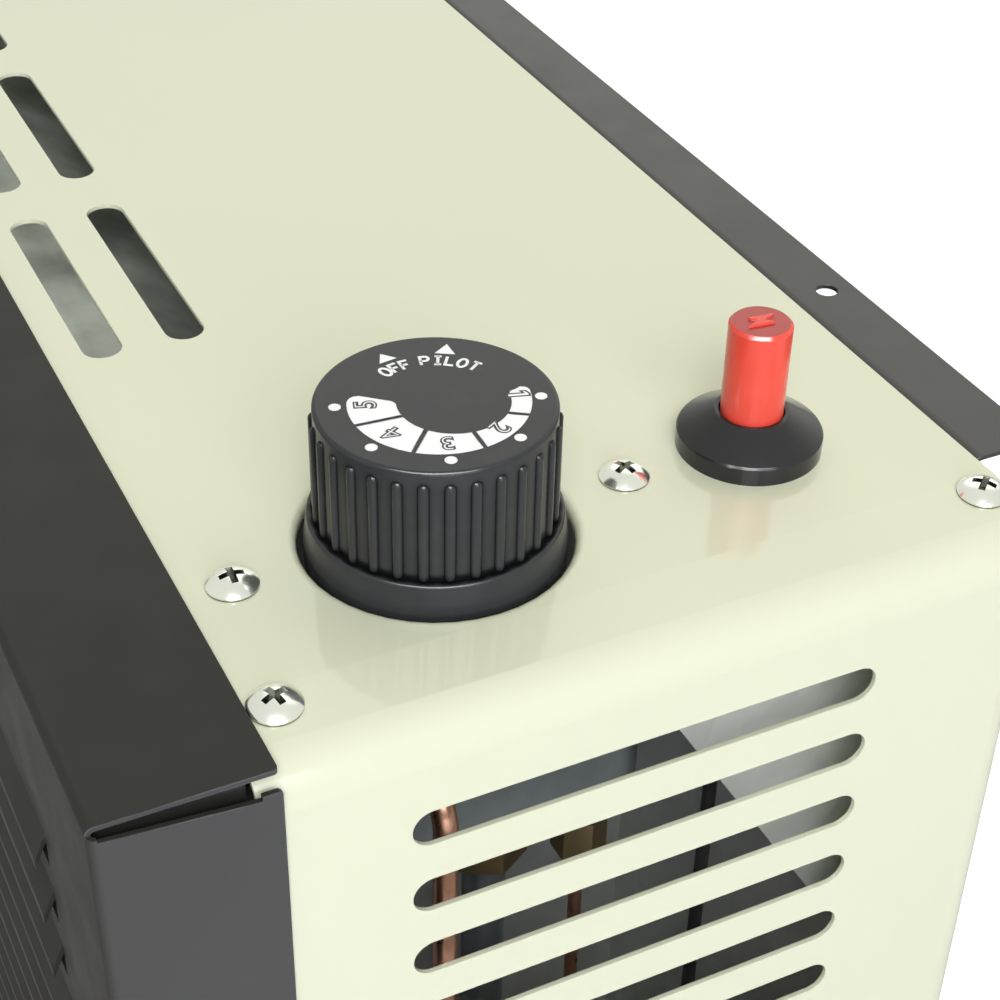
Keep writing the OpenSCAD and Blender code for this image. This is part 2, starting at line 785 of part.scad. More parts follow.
module rear_panel() {
    face_half = rear_half - rear_panel_r;
    face_h = rear_top - rear_rise - 2 * rear_panel_r;
    middle_z = (rear_top + rear_rise) / 2;
    color(black) in_frame() difference() {
        union() {
            translate([-face_half, cabinet_d, rear_rise + rear_panel_r])
                cube([2 * face_half, rear_t, face_h]);
            translate([-face_half, 0, 0]) along_x(2 * face_half) {
                rear_edge_shape(rear_top);
                translate([0, rear_top + rear_rise]) mirror([0, 1]) rear_edge_shape(rear_top);
            }
            for (s = [0, 1]) mirror([s, 0, 0]) translate([0, 0, rear_rise + rear_panel_r + rear_corner])
                linear_extrude(face_h - 2 * rear_corner) mirror([1, -1]) rear_edge_shape(rear_half);
        }
        for (s = [-1, 1]) translate([s * face_half, cabinet_d + rear_flange, rear_rise - over]) rotate(45)
            translate([-rear_corner / sqrt(2), -rear_corner / sqrt(2), 0])
                cube([rear_corner * sqrt(2), rear_corner * sqrt(2), rear_panel_r + 2 * over]);
        for (s = [-1, 1]) translate([s * face_half, cabinet_d + rear_flange, rear_top - rear_panel_r - over])
            rotate(45) translate([-rear_corner / sqrt(2), -rear_corner / sqrt(2), 0])
                cube([rear_corner * sqrt(2), rear_corner * sqrt(2), rear_panel_r + 2 * over]);
        for (s = [-1, 1]) translate([s * hanger_spacing / 2, cabinet_d + hanger_back, middle_z])
            cylinder(d = hanger_d, h = rear_top, center = true);
        translate([0, cabinet_d - over, vent_z]) along_y(rear_t + 2 * over) circle(d = neck_hole);
        at_rear_screws() screw_hole();
    }
}

// Side lip of the bottom on the right, for the right half of the casing
module base_side_lip() {
    translate([half_w - sheet_t - base_t, base_front, 0])
        cube([base_t, pan_l - rear_bend_r, base_t + base_lip]);
}

module base_pan() {
    right = seam_x - tube_fit;
    color(galvanised) in_frame() difference() {
        union() {
            translate([-half_w, base_front, 0]) cube([half_w + right, pan_l, base_t]);
            mirror([1, 0, 0]) base_side_lip();
            translate([right - base_t, base_front, 0]) cube([base_t, pan_l - rear_bend_r, base_t + seam_h]);
            translate([-rear_lip_half, cabinet_d - base_t, 0])
                cube([rear_lip_half + right, base_t, base_t + base_lip]);
        }
        for (i = [0 : vent_cols - 1], j = [0, 1, 2])
            translate([
                (i - (vent_cols - 1) / 2) * vent_pitch_x + chamber_x,
                slot_y + (j - 1) * 2 * vent_pitch_y,
                -over
            ]) linear_extrude(base_t + 2 * over) slot_shape(vent_l * 0.6, vent_w);
        at_base_screws() screw_hole();
    }
}

// Right end of the bottom, with the hole for the gas hose
module hose_plate() {
    color(galvanised) in_frame() difference() {
        union() {
            translate([seam_x, base_front, 0]) cube([half_w - seam_x, pan_l, base_t]);
            base_side_lip();
            translate([seam_x, base_front, 0]) cube([base_t, pan_l - rear_bend_r, base_t + seam_h]);
            translate([seam_x, cabinet_d - base_t, 0])
                cube([rear_lip_half - seam_x, base_t, base_t + base_lip]);
        }
        translate([knob_x, inlet_y, -over]) cylinder(d = hose_hole_d, h = base_t + 2 * over);
        at_base_screws() screw_hole();
    }
}

module side_rails() {
    color(galvanised) in_frame() difference() {
        for (s = [0, 1]) mirror([s, 0, 0]) translate([crease_x, 0, cabinet_h]) rotate([0, crease_tilt, 0])
            translate([1, 0, -sheet_t - liner_t]) {
                cube([rail_w, cabinet_d, liner_t]);
                translate([0, 0, -rail_web]) cube([liner_t, cabinet_d, rail_web]);
            }
        at_edge_screws() screw_hole();
    }
}

module top_deflector() {
    heel = [grille_t, under_z - deflector_drop];
    knee = [vent_y + vent_pitch_y - vent_w, heel.y - 2];
    toe = [deflector_end, heel.y - deflector_fall];
    lip = [0, -2 * liner_lip];
    steep = (knee.y - toe.y) / (toe.x - knee.x);
    under = [0, -liner_t * sqrt(1 + steep * steep)];
    left = shield_x + liner_t;
    color(galvanised) in_frame() translate([left, 0, 0]) along_x(partition_x - left)
        polygon([
            heel, knee, toe, toe + under, knee - [liner_t / 2, liner_t], heel + [liner_t, -liner_t],
            heel + [liner_t, 0] + lip, heel + lip
        ]);
}

// Upright heat shield between the base and the top, with its feet turned to the right
module upright_liner() {
    liner_h = under_z - base_t;
    translate([0, grille_t, base_t]) cube([liner_t, cabinet_d - base_t - grille_t, liner_h]);
    translate([0, frame_end + 5, base_t]) cube([liner_lip, cabinet_d - frame_end - 10, liner_t]);
    translate([0, frame_end + 5, under_z - liner_t]) cube([liner_lip, cabinet_d - frame_end - 10, liner_t]);
}

module control_partition() {
    wing_w = wing_x - partition_x;
    wing_low = base_t + base_lip + 2;
    wing_top = under_z - wing_drop;
    color(galvanised) in_frame() difference() {
        translate([partition_x, 0, 0]) {
            upright_liner();
            translate([0, wing_y, wing_low]) cube([wing_w, liner_t, wing_top - wing_low]);
            translate([wing_w - liner_t, wing_y + liner_t, wing_top]) along_x(liner_t)
                polygon([[0, 0], [-gusset_l, 0], [0, -gusset_h]]);
        }
        translate([partition_x - over, burner_y, service_z - 18]) along_x(liner_t + 2 * over)
            round_rect(72, 96, 6);
    }
}

module left_shield() {
    color(galvanised) in_frame() translate([shield_x, 0, 0]) upright_liner();
}

module valve_bracket() {
    foot_l = 2 * (bracket_screw_y - leg_y);
    color(galvanised) in_frame() difference() {
        translate([knob_x, knob_y, 0]) {
            translate([-bracket_w / 2, -leg_y, valve_top]) cube([bracket_w, 2 * leg_y, bracket_t]);
            for (s = [0, 1]) mirror([0, s, 0]) translate([-bracket_w / 2, leg_y, 0]) {
                translate([0, -bracket_t, valve_top]) cube([bracket_w, bracket_t, under_z - valve_top]);
                translate([0, -bracket_t, under_z - bracket_t]) cube([bracket_w, foot_l, bracket_t]);
            }
        }
        translate([knob_x, knob_y, valve_top - over])
            cylinder(d = neck_d + 2 * tube_fit, h = bracket_t + 2 * over);
        at_top_screws() screw_hole();
        at_valve_screws() screw_hole();
    }
}

module at_valve_screws() {
    for (s = [-1, 1]) translate([knob_x, knob_y + s * valve_screw_y, valve_top + bracket_t]) children();
}

// Gas valve: cast body, neck for the stem, ports below and at the right, magnet unit and thermostat ends
module gas_valve() {
    color(cast) in_frame() difference() {
        union() {
            translate([knob_x, knob_y, valve_z]) linear_extrude(valve_h) round_rect(valve_w, valve_l, 6);
            translate([knob_x, knob_y, valve_top]) cylinder(d = neck_d, h = neck_rise);
            translate([knob_x, knob_y, valve_top]) cylinder(d = boss_d, h = boss_top - valve_top);
            for (y = [inlet_y, burner_y]) translate([knob_x, y, valve_z - port_boss])
                cylinder(d = 20, h = port_boss + over);
            for (p = [[couple_x, couple_y], [sense_x, sense_y]])
                translate([p.x, p.y, valve_z - port_boss]) cylinder(d = 9, h = port_boss + over);
            translate([knob_x + valve_w / 2 - over, pilot_port_y, pilot_port_z]) rotate([0, 90, 0])
                cylinder(d = 11, h = 3 + over);
            translate([knob_x, knob_y - valve_l / 2 + over, valve_z + valve_h * 0.42]) rotate([90, 0, 0])
                cylinder(d = 24, h = 9 + over);
            translate([knob_x, knob_y + valve_l / 2 - over, valve_z + valve_h * 0.5]) rotate([-90, 0, 0])
                cylinder(d = 30, h = 8 + over);
        }
        translate([knob_x, knob_y, stem_low - push_travel - 1])
            cylinder(r = stem_d / 2 + stem_fit, h = valve_drop + valve_h);
        at_valve_screws() screw_hole();
    }
}

module valve_stem() {
    flat = stem_d * 0.2;
    color(brass) in_frame() translate([knob_x, knob_y, 0]) difference() {
        translate([0, 0, stem_low]) cylinder(d = stem_d, h = cabinet_h + stem_top - stem_low);
        translate([-stem_d, stem_d / 2 - flat, cabinet_h - hub_depth])
            cube([2 * stem_d, stem_d, knob_h + hub_depth]);
    }
}

module spring_seat() {
    color(zinc) in_frame() translate([knob_x, knob_y, spring_high]) difference() {
        cylinder(d = seat_d, h = seat_t);
        translate([0, 0, -over]) cylinder(r = stem_d / 2 + clear, h = seat_t + 2 * over);
    }
}

knob_spring_r = (boss_d + seat_d) / 4;
knob_spring_l = spring_high - spring_low;
echo(knob_spring_gap = coil_gap(knob_spring_r, knob_wire, knob_spring_l, knob_turns));
module knob_spring() {
    color(zinc) in_frame() translate([knob_x, knob_y, spring_low])
        coil(knob_spring_r, knob_wire, knob_spring_l, knob_turns);
}

// Half outline of the knob: straight grip with a rounded rim, groove, and a skirt that flares to its foot
module knob_outline() {
    grip_r = knob_r + rim_grow;
    square([grip_r - knob_bevel, knob_h]);
    square([grip_r, knob_h - knob_bevel]);
    translate([grip_r - knob_bevel, knob_h - knob_bevel]) circle(knob_bevel);
    polygon([
        [0, -skirt_depth], [skirt_d / 2, -skirt_depth], [skirt_d / 2, -skirt_edge],
        [shoulder_r, skirt_h - skirt_edge], [shoulder_r - skirt_edge, skirt_h - skirt_edge],
        [0, skirt_h - skirt_edge]
    ]);
    translate([shoulder_r - skirt_edge, skirt_h - skirt_edge]) circle(skirt_edge);
    translate([0, skirt_h - 2 * skirt_edge]) square([shoulder_r - skirt_edge, 2 * skirt_edge]);
}

module control_knob() {
    grip_r = knob_r + rim_grow;
    rib_end = knob_h - 2.4 - knob_rib_w / 2;
    rib_low = skirt_h + 0.3;
    flat = stem_d * 0.2;
    key_r = stem_d / 2 + tube_fit / 4;
    color(charcoal) in_frame() translate([knob_x, knob_y, cabinet_h]) difference() {
        union() {
            rotate_extrude() intersection() {
                knob_outline();
                translate([0, -skirt_depth]) square([skirt_d, 2 * knob_h]);
            }
            for (i = [0 : knob_ribs - 1])
                rotate((i + 0.5) * rib_count_angle) translate([grip_r - 0.35, 0, 0]) {
                    translate([0, 0, rib_low]) cylinder(d = knob_rib_w, h = rib_end - rib_low);
                    translate([0, 0, rib_end]) sphere(d = knob_rib_w);
                }
        }
        difference() {
            translate([0, 0, -skirt_depth - over])
                cylinder(r = knob_r - knob_wall, h = knob_h + skirt_depth - knob_cap + over);
            cylinder(d = hub_d, h = 4 * knob_h, center = true);
            for (a = [0, 90]) rotate(a) cube([2 * knob_r, 1.6, 4 * knob_h], center = true);
        }
        difference() {
            translate([0, 0, -knob_h]) cylinder(r = key_r, h = knob_h + stem_top + tube_fit);
            translate([-stem_d, stem_d / 2 - flat + tube_fit / 4, -hub_depth])
                cube([2 * stem_d, stem_d, 2 * knob_h]);
        }
    }
    color(charcoal) in_frame() translate([knob_x, knob_y, cabinet_h - hub_depth]) difference() {
        cylinder(d = hub_d, h = hub_depth - skirt_depth);
        difference() {
            translate([0, 0, -over]) cylinder(r = key_r, h = hub_depth);
            translate([-stem_d, stem_d / 2 - flat + tube_fit / 4, 0]) cube([2 * stem_d, stem_d, hub_depth]);
        }
    }
}

// Igniter: collar and threaded barrel, nut, spark cartridge, button and lead
module igniter_collar() {
    cone_r = button_bore + 0.8;
    color(charcoal) in_frame() translate([igniter_x, igniter_y, cabinet_h]) rotate_extrude() difference() {
        union() {
            polygon([
                [0, 0], [collar_d / 2, 0], [collar_d / 2, collar_rim - 0.4], [collar_d / 2 - 0.3, collar_rim],
                [cone_r, collar_h], [0, collar_h]
            ]);
            translate([0, -barrel_l]) square([barrel_d / 2, barrel_l]);
        }
        translate([0, -barrel_l - over]) square([button_bore, barrel_l + collar_h + 2 * over]);
    }
}

module igniter_nut() {
    color(zinc) in_frame() translate([igniter_x, igniter_y, under_z - 5]) difference() {
        cylinder(d = barrel_d + 9, h = 5, $fn = 6);
        translate([0, 0, -over]) cylinder(r = barrel_d / 2 + tube_fit, h = 5 + 2 * over);
    }
}

module igniter_cartridge() {
    color(pale) in_frame() translate([igniter_x, igniter_y, cartridge_low]) {
        cylinder(d = terminal_d, h = cartridge_l);
        translate([0, 0, terminal_l]) cylinder(d = barrel_d - 2, h = cartridge_l - terminal_l);
        translate([0, 0, cartridge_l - 6]) cylinder(d = barrel_d, h = 6);
        translate([0, 0, cartridge_l * 0.55]) cylinder(d = barrel_d, h = 3);
    }
}

button_spring_r = button_d / 2 - 1.6;
button_spring_l = barrel_l + button_low;
echo(button_spring_gap = coil_gap(button_spring_r, button_wire, button_spring_l, button_turns));
module igniter_spring() {
    color(zinc) in_frame() translate([igniter_x, igniter_y, cartridge_top])
        coil(button_spring_r, button_wire, button_spring_l, button_turns);
}

module igniter_button() {
    tip = [1.1, -3.5];
    heel = [1.6, 2.0];
    waist = [0.2, 0.6];
    color(red) in_frame() translate([igniter_x, igniter_y, cabinet_h]) {
        translate([0, 0, button_low]) cylinder(d = button_d, h = button_h - button_low - button_edge);
        translate([0, 0, button_h - button_edge])
            cylinder(d1 = button_d, d2 = button_d - 2 * button_edge, h = button_edge);
        translate([0, 0, button_h]) linear_extrude(sign_h) polygon([tip, heel, waist, -tip, -heel, -waist]);
    }
}

module igniter_lead() {
    low = cartridge_low - boot_l;
    color(charcoal) in_frame() {
        translate([igniter_x, igniter_y, low]) cylinder(d1 = lead_d + 1.4, d2 = terminal_d - 1.6, h = boot_l);
        pipe([
            [igniter_x, igniter_y, low],
            [igniter_x, igniter_y, pilot_z],
            [chamber_right + lead_reach, igniter_y, pilot_z],
            [chamber_right + lead_reach, spark_y, pilot_z],
            [chamber_right + spark_reach, spark_y, pilot_z]
        ], lead_d, jog(igniter_y, spark_y));
    }
}

// Gas inlet, regulator and lines
module inlet_fitting() {
    color(brass) in_frame() translate([knob_x, inlet_y, 0]) difference() {
        union() {
            translate([0, 0, fitting_low]) cylinder(d = flare_d, h = flare_l);
            translate([0, 0, fitting_low + flare_l])
                cylinder(d = 22, h = regulator_z - fitting_low - flare_l, $fn = 6);
        }
        translate([0, 0, fitting_low - over]) cylinder(d = flare_d * 0.55, h = regulator_z);
    }
}

module gas_regulator() {
    depth = 30;
    centre_z = regulator_z + regulator_h / 2;
    color(cast) in_frame() {
        translate([knob_x - regulator_h / 2, inlet_y - depth / 2, regulator_z])
            cube([regulator_h, depth, regulator_h]);
        translate([knob_x, inlet_y, regulator_z + regulator_h]) cylinder(d = 20, h = 6);
        translate([knob_x, inlet_y + depth / 2, centre_z]) rotate([-90, 0, 0]) {
            cylinder(d = 64, h = 9);
            translate([0, 0, 9]) cylinder(d = 68, h = 3);
            translate([0, 0, 12]) cylinder(d1 = 64, d2 = 40, h = 10);
            translate([0, 0, 22]) cylinder(d = 26, h = 16);
        }
    }
}

module regulator_bracket() {
    width = 30;
    face_y = inlet_y - 15 - bracket_t;
    color(galvanised) in_frame() translate([knob_x - width / 2, face_y, base_t]) {
        cube([width, bracket_t, regulator_z + regulator_h - base_t - 8]);
        translate([0, -9, 0]) cube([width, 9, bracket_t]);
    }
}

module inlet_tube() {
    color(galvanised) in_frame() rod_between(
        [knob_x, inlet_y, regulator_z + regulator_h + 6],
        [knob_x, inlet_y, valve_z - port_boss],
        inlet_tube_d,
        inlet_tube_d - 2 * tube_wall
    );
}

module burner_feed() {
    color(cast) in_frame() pipe([
        [knob_x, burner_y, valve_z - port_boss],
        [knob_x, burner_y, burner_z],
        [orifice_end, burner_y, burner_z]
    ], feed_tube_d, line_bend, feed_tube_d - 2 * tube_wall);
}

module pilot_tube() {
    color(copper) in_frame() pipe([
        [knob_x + valve_w / 2 + 3, pilot_port_y, pilot_port_z],
        [pilot_drop_x, pilot_port_y, pilot_port_z],
        [pilot_drop_x, pilot_port_y, pilot_z],
        [pilot_drop_x, pilot_y, pilot_z],
        [bracket_x + 12, pilot_y, pilot_z]
    ], pilot_tube_d, jog(pilot_port_y, pilot_y), pilot_tube_d - 2 * tube_wall);
}

module thermocouple() {
    color(copper) in_frame() {
        pipe([
            [couple_x, couple_y, valve_z - port_boss],
            [couple_x, couple_y, tip_z],
            [chamber_right + couple_reach, couple_y, tip_z],
            [chamber_right + couple_reach, burner_y, tip_z],
            [bracket_x + 8, burner_y, tip_z]
        ], couple_d, jog(couple_y, burner_y));
        rod_between([bracket_x - 14, burner_y, tip_z], [bracket_x + 8, burner_y, tip_z], tip_d);
    }
}

module sensing_bulb() {
    color(copper) in_frame() {
        pipe([
            [sense_x, sense_y, valve_z - port_boss],
            [sense_x, sense_y, bulb_z[1] + bulb_rise],
            [sense_x, bulb_y, bulb_z[1] + bulb_rise],
            [bulb_x, bulb_y, bulb_z[1] + bulb_rise],
            [bulb_x, bulb_y, bulb_z[1]]
        ], sense_d, jog(sense_y, bulb_y));
        translate([bulb_x, bulb_y, bulb_z[0]]) cylinder(d = bulb_d, h = bulb_z[1] - bulb_z[0]);
    }
}

module bulb_clips() {
    clip_h = 8;
    reach = bulb_x - partition_x - liner_t + bulb_d / 2 + 2;
    color(zinc) in_frame() for (z = [bulb_z[0] + 12, bulb_z[1] - 12 - clip_h]) difference() {
        translate([partition_x + liner_t, bulb_y - bulb_d / 2 - 2, z]) cube([reach, bulb_d + 4, clip_h]);
        translate([bulb_x, bulb_y, z - over]) cylinder(r = bulb_d / 2 + tube_fit, h = clip_h + 2 * over);
    }
}

// Compression nut round a tube, standing on its lower end
module tube_nut(d, h) {
    difference() {
        cylinder(d = d + 9, h = h, $fn = 6);
        translate([0, 0, -over]) cylinder(r = d / 2 + tube_fit, h = h + 2 * over);
    }
}

module tube_nuts() {
    low = valve_z - port_boss - nut_h;
    color(brass) in_frame() {
        translate([knob_x, inlet_y, low]) tube_nut(inlet_tube_d, nut_h);
        translate([knob_x, inlet_y, regulator_z + regulator_h + 6]) tube_nut(inlet_tube_d, nut_h);
        translate([knob_x, burner_y, low]) tube_nut(feed_tube_d, nut_h);
        translate([couple_x, couple_y, low]) tube_nut(couple_d, nut_h);
        translate([sense_x, sense_y, low]) tube_nut(sense_d, nut_h);
        translate([knob_x + valve_w / 2 + 3, pilot_port_y, pilot_port_z]) rotate([0, 90, 0])
            tube_nut(pilot_tube_d, 4);
        translate([orifice_end, burner_y, burner_z]) rotate([0, 90, 0]) tube_nut(feed_tube_d, nut_h);
    }
}

// Combustion chamber: deep front shell and shallow rear tray, joined at their flanges
module chamber_outline(grow) {
    round_rect(chamber_w + 2 * grow, chamber_h + 2 * grow, chamber_r + grow);
}

module chamber_shell(from, to, wall_y) {
    translate([chamber_x, 0, chamber_mid_z]) difference() {
        translate([0, from, 0]) along_y(to - from) chamber_outline(0);
        translate([0, wall_y, 0]) along_y(to - from) chamber_outline(-chamber_t);
    }
}

module chamber_flange(y) {
    translate([chamber_x, y, chamber_mid_z]) along_y(chamber_t) difference() {
        chamber_outline(joint_flange);
        chamber_outline(-chamber_t);
    }
}

module chamber_front() {
    color(enamel) in_frame() difference() {
        union() {
            chamber_shell(chamber_y, joint_y, chamber_y + chamber_t);
            chamber_flange(joint_y - chamber_t);
        }
        translate([glass_x, chamber_y - over, glass_z]) along_y(chamber_t + 2 * over)
            circle(glass_d / 2 - glass_rim);
        translate([chamber_right - 3, burner_y, service_z]) along_x(6) round_rect(service_w, service_h, 4);
        translate([chamber_right - 3, burner_y, burner_z]) along_x(6) circle(9 + tube_fit);
        at_glass_screws() small_hole();
        at_plate_screws() small_hole();
    }
}

module chamber_back() {
    color(enamel) in_frame() difference() {
        union() {
            chamber_shell(joint_y, chamber_end_y, joint_y - chamber_t);
            chamber_flange(joint_y);
        }
        translate([0, chamber_end_y - 2 * over, vent_z]) along_y(4 * over) circle(d = flue_bore);
        translate([0, chamber_end_y - 2 * over, burner_z + air_slot_rise]) along_y(4 * over)
            slot_shape(air_slot_l, air_slot_w);
    }
}

module chamber_legs() {
    leg_h = chamber_z - base_t;
    color(galvanised) in_frame() for (x = prop_x) translate([x, chamber_y + leg_inset, base_t]) {
        cube([leg_w, leg_l, bracket_t]);
        cube([bracket_t, leg_l, leg_h]);
        translate([0, 0, leg_h - bracket_t]) cube([leg_w, leg_l, bracket_t]);
    }
}

module main_burner() {
    port_pitch = (burner_l - port_inset - port_end) / (burner_ports - 1);
    color(zinc) in_frame() translate([burner_right - burner_l, burner_y, burner_z]) difference() {
        rotate([0, 90, 0]) cylinder(d = burner_d, h = burner_l);
        translate([1.5, 0, 0]) rotate([0, 90, 0]) cylinder(d = burner_d - 2.4, h = burner_l);
        for (i = [0 : burner_ports - 1]) translate([port_inset + i * port_pitch, -5, burner_d / 2 - 4])
            cube([1.6, 10, 8]);
    }
}

module burner_brackets() {
    floor_z = chamber_z + chamber_t;
    color(zinc) in_frame() for (x = prop_x) difference() {
        translate([x, burner_y - prop_w / 2, floor_z]) cube([plate_t, prop_w, burner_z - floor_z]);
        translate([x - over, burner_y, burner_z]) rotate([0, 90, 0])
            cylinder(r = burner_d / 2 + tube_fit, h = plate_t + 2 * over);
    }
}

module orifice_holder() {
    color(brass) in_frame() translate([chamber_right, burner_y, burner_z]) rotate([0, 90, 0]) difference() {
        union() {
            translate([0, 0, -10]) cylinder(d = 18, h = 10);
            translate([0, 0, -18]) cylinder(d1 = 6, d2 = 14, h = 8);
            cylinder(d = 26, h = 9, $fn = 6);
            translate([0, 0, 9]) cylinder(d = 16, h = orifice_end - chamber_right - 9);
        }
        translate([0, 0, -20]) cylinder(d = 1.6, h = 60);
    }
}

module pilot_bracket() {
    color(zinc) in_frame() {
        translate([bracket_x, pilot_y - 4, pilot_z - 9])
            cube([plate_x - bracket_x, spark_y - pilot_y + 8, 1.2]);
        difference() {
            translate([bracket_x, pilot_y - 8, pilot_z - 9]) cube([1.2, spark_y - pilot_y + 16, 26]);
            for (p = [
                [pilot_y, pilot_z, pilot_head_d],
                [burner_y, tip_z, tip_d],
                [spark_y, pilot_z, insulator_d]
            ])
                translate([bracket_x - over, p.x, p.y]) rotate([0, 90, 0])
                    cylinder(r = p.z / 2 + tube_fit, h = 1.2 + 2 * over);
        }
    }
}

module pilot_burner() {
    color(brass) in_frame() translate([bracket_x - 12, pilot_y, pilot_z]) rotate([0, 90, 0]) difference() {
        cylinder(d = pilot_head_d, h = 24);
        translate([-2, -pilot_head_d, -over]) cube([4, 2 * pilot_head_d, 9]);
    }
}

module spark_electrode() {
    color(pale) in_frame() {
        rod_between(
            [bracket_x - 8, spark_y, pilot_z],
            [chamber_right + spark_reach, spark_y, pilot_z],
            insulator_d
        );
        pipe([
            [bracket_x - 7, spark_y, pilot_z],
            [bracket_x - 16, spark_y, pilot_z],
            [bracket_x - 16, pilot_y + 8, pilot_z]
        ], spark_wire, 2);
    }
}

module at_plate_screws() {
    for (y = [-1, 1], z = [-1, 1]) translate([
        plate_x + plate_t,
        burner_y + y * (service_w / 2 + service_rim / 2),
        service_z + z * (service_h / 2 + service_rim / 2)
    ]) rotate([0, 90, 0]) children();
}

module at_glass_screws() {
    for (a = [45 : 90 : 315]) translate([
        glass_x + (glass_d / 2 + 5) * cos(a),
        chamber_y - 1 - glass_t - frame_lip,
        glass_z + (glass_d / 2 + 5) * sin(a)
    ]) rotate([90, 0, 0]) children();
}

// Hole for a small screw, through every sheet under its head
module small_hole() {
    translate([0, 0, -9]) cylinder(r = 1.5 + hole_fit, h = 10);
}

module service_outline(grow) {
    round_rect(service_w + 2 * grow, service_h + 2 * grow, 4 + grow);
}

module service_gasket() {
    color(fibre) in_frame() difference() {
        translate([chamber_right, burner_y, service_z]) along_x(gasket_t) difference() {
            service_outline(service_rim);
            service_outline(0);
        }
        at_plate_screws() small_hole();
    }
}

module service_plate() {
    color(zinc) in_frame() difference() {
        translate([plate_x, burner_y, service_z]) along_x(plate_t) service_outline(service_rim);
        for (p = [
            [pilot_y, pilot_z, pilot_tube_d],
            [burner_y, tip_z, couple_d],
            [spark_y, pilot_z, insulator_d]
        ])
            translate([plate_x - over, p.x, p.y]) rotate([0, 90, 0])
                cylinder(r = p.z / 2 + tube_fit, h = plate_t + 2 * over);
        at_plate_screws() small_hole();
    }
}

// Sight glass: gasket, glass and its ring, stacked on the chamber's front wall
module glass_gasket() {
    color(fibre) in_frame() difference() {
        translate([glass_x, chamber_y - 1, glass_z]) along_y(1) difference() {
            circle(glass_d / 2 + 9);
            circle(glass_d / 2 - glass_rim);
        }
        at_glass_screws() small_hole();
    }
}

module sight_glass() {
    color([0.8, 0.85, 0.8, 0.5]) in_frame() translate([glass_x, chamber_y - 1 - glass_t, glass_z])
        along_y(glass_t) circle(d = glass_d);
}

module glass_frame() {
    front = chamber_y - 1 - glass_t - frame_lip;
    color(zinc) in_frame() difference() {
        translate([glass_x, front, glass_z]) along_y(glass_t + frame_lip) difference() {
            circle(glass_d / 2 + 9);
            circle(glass_d / 2 - glass_rim + 2);
        }
        translate([glass_x, front + frame_lip, glass_z]) along_y(glass_t + over)
            circle(glass_d / 2 + tube_fit);
        at_glass_screws() small_hole();
    }
}

module air_box() {
    box_h = box_high - box_low;
    color(galvanised) in_frame() translate([0, 0, (box_high + box_low) / 2]) {
        translate([0, chamber_end_y, 0]) along_y(liner_t) difference() {
            square([2 * box_half + 20, box_h + 20], center = true);
            square([2 * (box_half - liner_t), box_h - 2 * liner_t], center = true);
        }
        difference() {
            translate([0, chamber_end_y, 0]) along_y(box_end - chamber_end_y)
                square([2 * box_half, box_h], center = true);
            translate([0, chamber_end_y - over, 0]) along_y(box_end - chamber_end_y - liner_t + over)
                square([2 * (box_half - liner_t), box_h - 2 * liner_t], center = true);
            translate([0, box_end - 3 * over, vent_z - (box_high + box_low) / 2]) along_y(6 * over)
                circle(d = intake_bore);
        }
    }
}

// Round collar along Y, and the flanged neck that holds its inner end
module vent_collar(d, from, to) {
    translate([0, from, vent_z]) along_y(to - from) difference() {
        circle(d / 2);
        circle(d / 2 - collar_t);
    }
}
module vent_flange(d, from) {
    neck_r = d / 2 - collar_t - tube_fit;
    translate([0, from, vent_z]) {
        along_y(collar_t) difference() {
            circle(d / 2 + collar_flange);
            circle(neck_r - collar_t);
        }
        along_y(vent_neck) difference() {
            circle(neck_r);
            circle(neck_r - collar_t);
        }
    }
}

module intake_collar() {
    start = cabinet_d + rear_t + vent_step;
    color(galvanised) in_frame() vent_collar(intake_d, start, cabinet_d + intake_out);
}

module intake_flange() {
    color(galvanised) in_frame() vent_flange(intake_d, box_end);
}

module flue_collar() {
    color(zinc) in_frame() vent_collar(flue_d, chamber_end_y + collar_t + vent_step, end_y);
}

module flue_flange() {
    color(zinc) in_frame() vent_flange(flue_d, chamber_end_y);
}

module vent_gasket() {
    start = box_end + collar_t;
    color(fibre) in_frame() translate([0, start, vent_z]) along_y(cabinet_d - start) difference() {
        circle(intake_d / 2 + collar_flange);
        circle(d = neck_hole);
    }
}

// Fasteners
module top_screws() {
    color(zinc) in_frame() {
        at_top_screws() screw(head_d, head_h, shank_d, 7);
        at_edge_screws() screw(head_d, head_h, shank_d, 7);
    }
}

module frame_screws() {
    color(charcoal) in_frame() at_frame_screws() screw(head_d * 0.8, head_h * 0.8, shank_d, 6);
}

module base_screws() {
    color(zinc) in_frame() at_base_screws() screw(head_d * 0.8, head_h * 0.8, shank_d, 5);
}

module rear_screws() {
    color(charcoal) in_frame() at_rear_screws() screw(head_d * 0.8, head_h * 0.8, shank_d, 5);
}

module valve_screws() {
    color(zinc) in_frame() at_valve_screws() screw(7.5, 2.4, shank_d, 5);
}

module plate_screws() {
    color(zinc) in_frame() at_plate_screws() screw(5.5, 2, 3, 6);
}

module glass_screws() {
    color(zinc) in_frame() at_glass_screws() screw(5.5, 2, 3, 7);
}

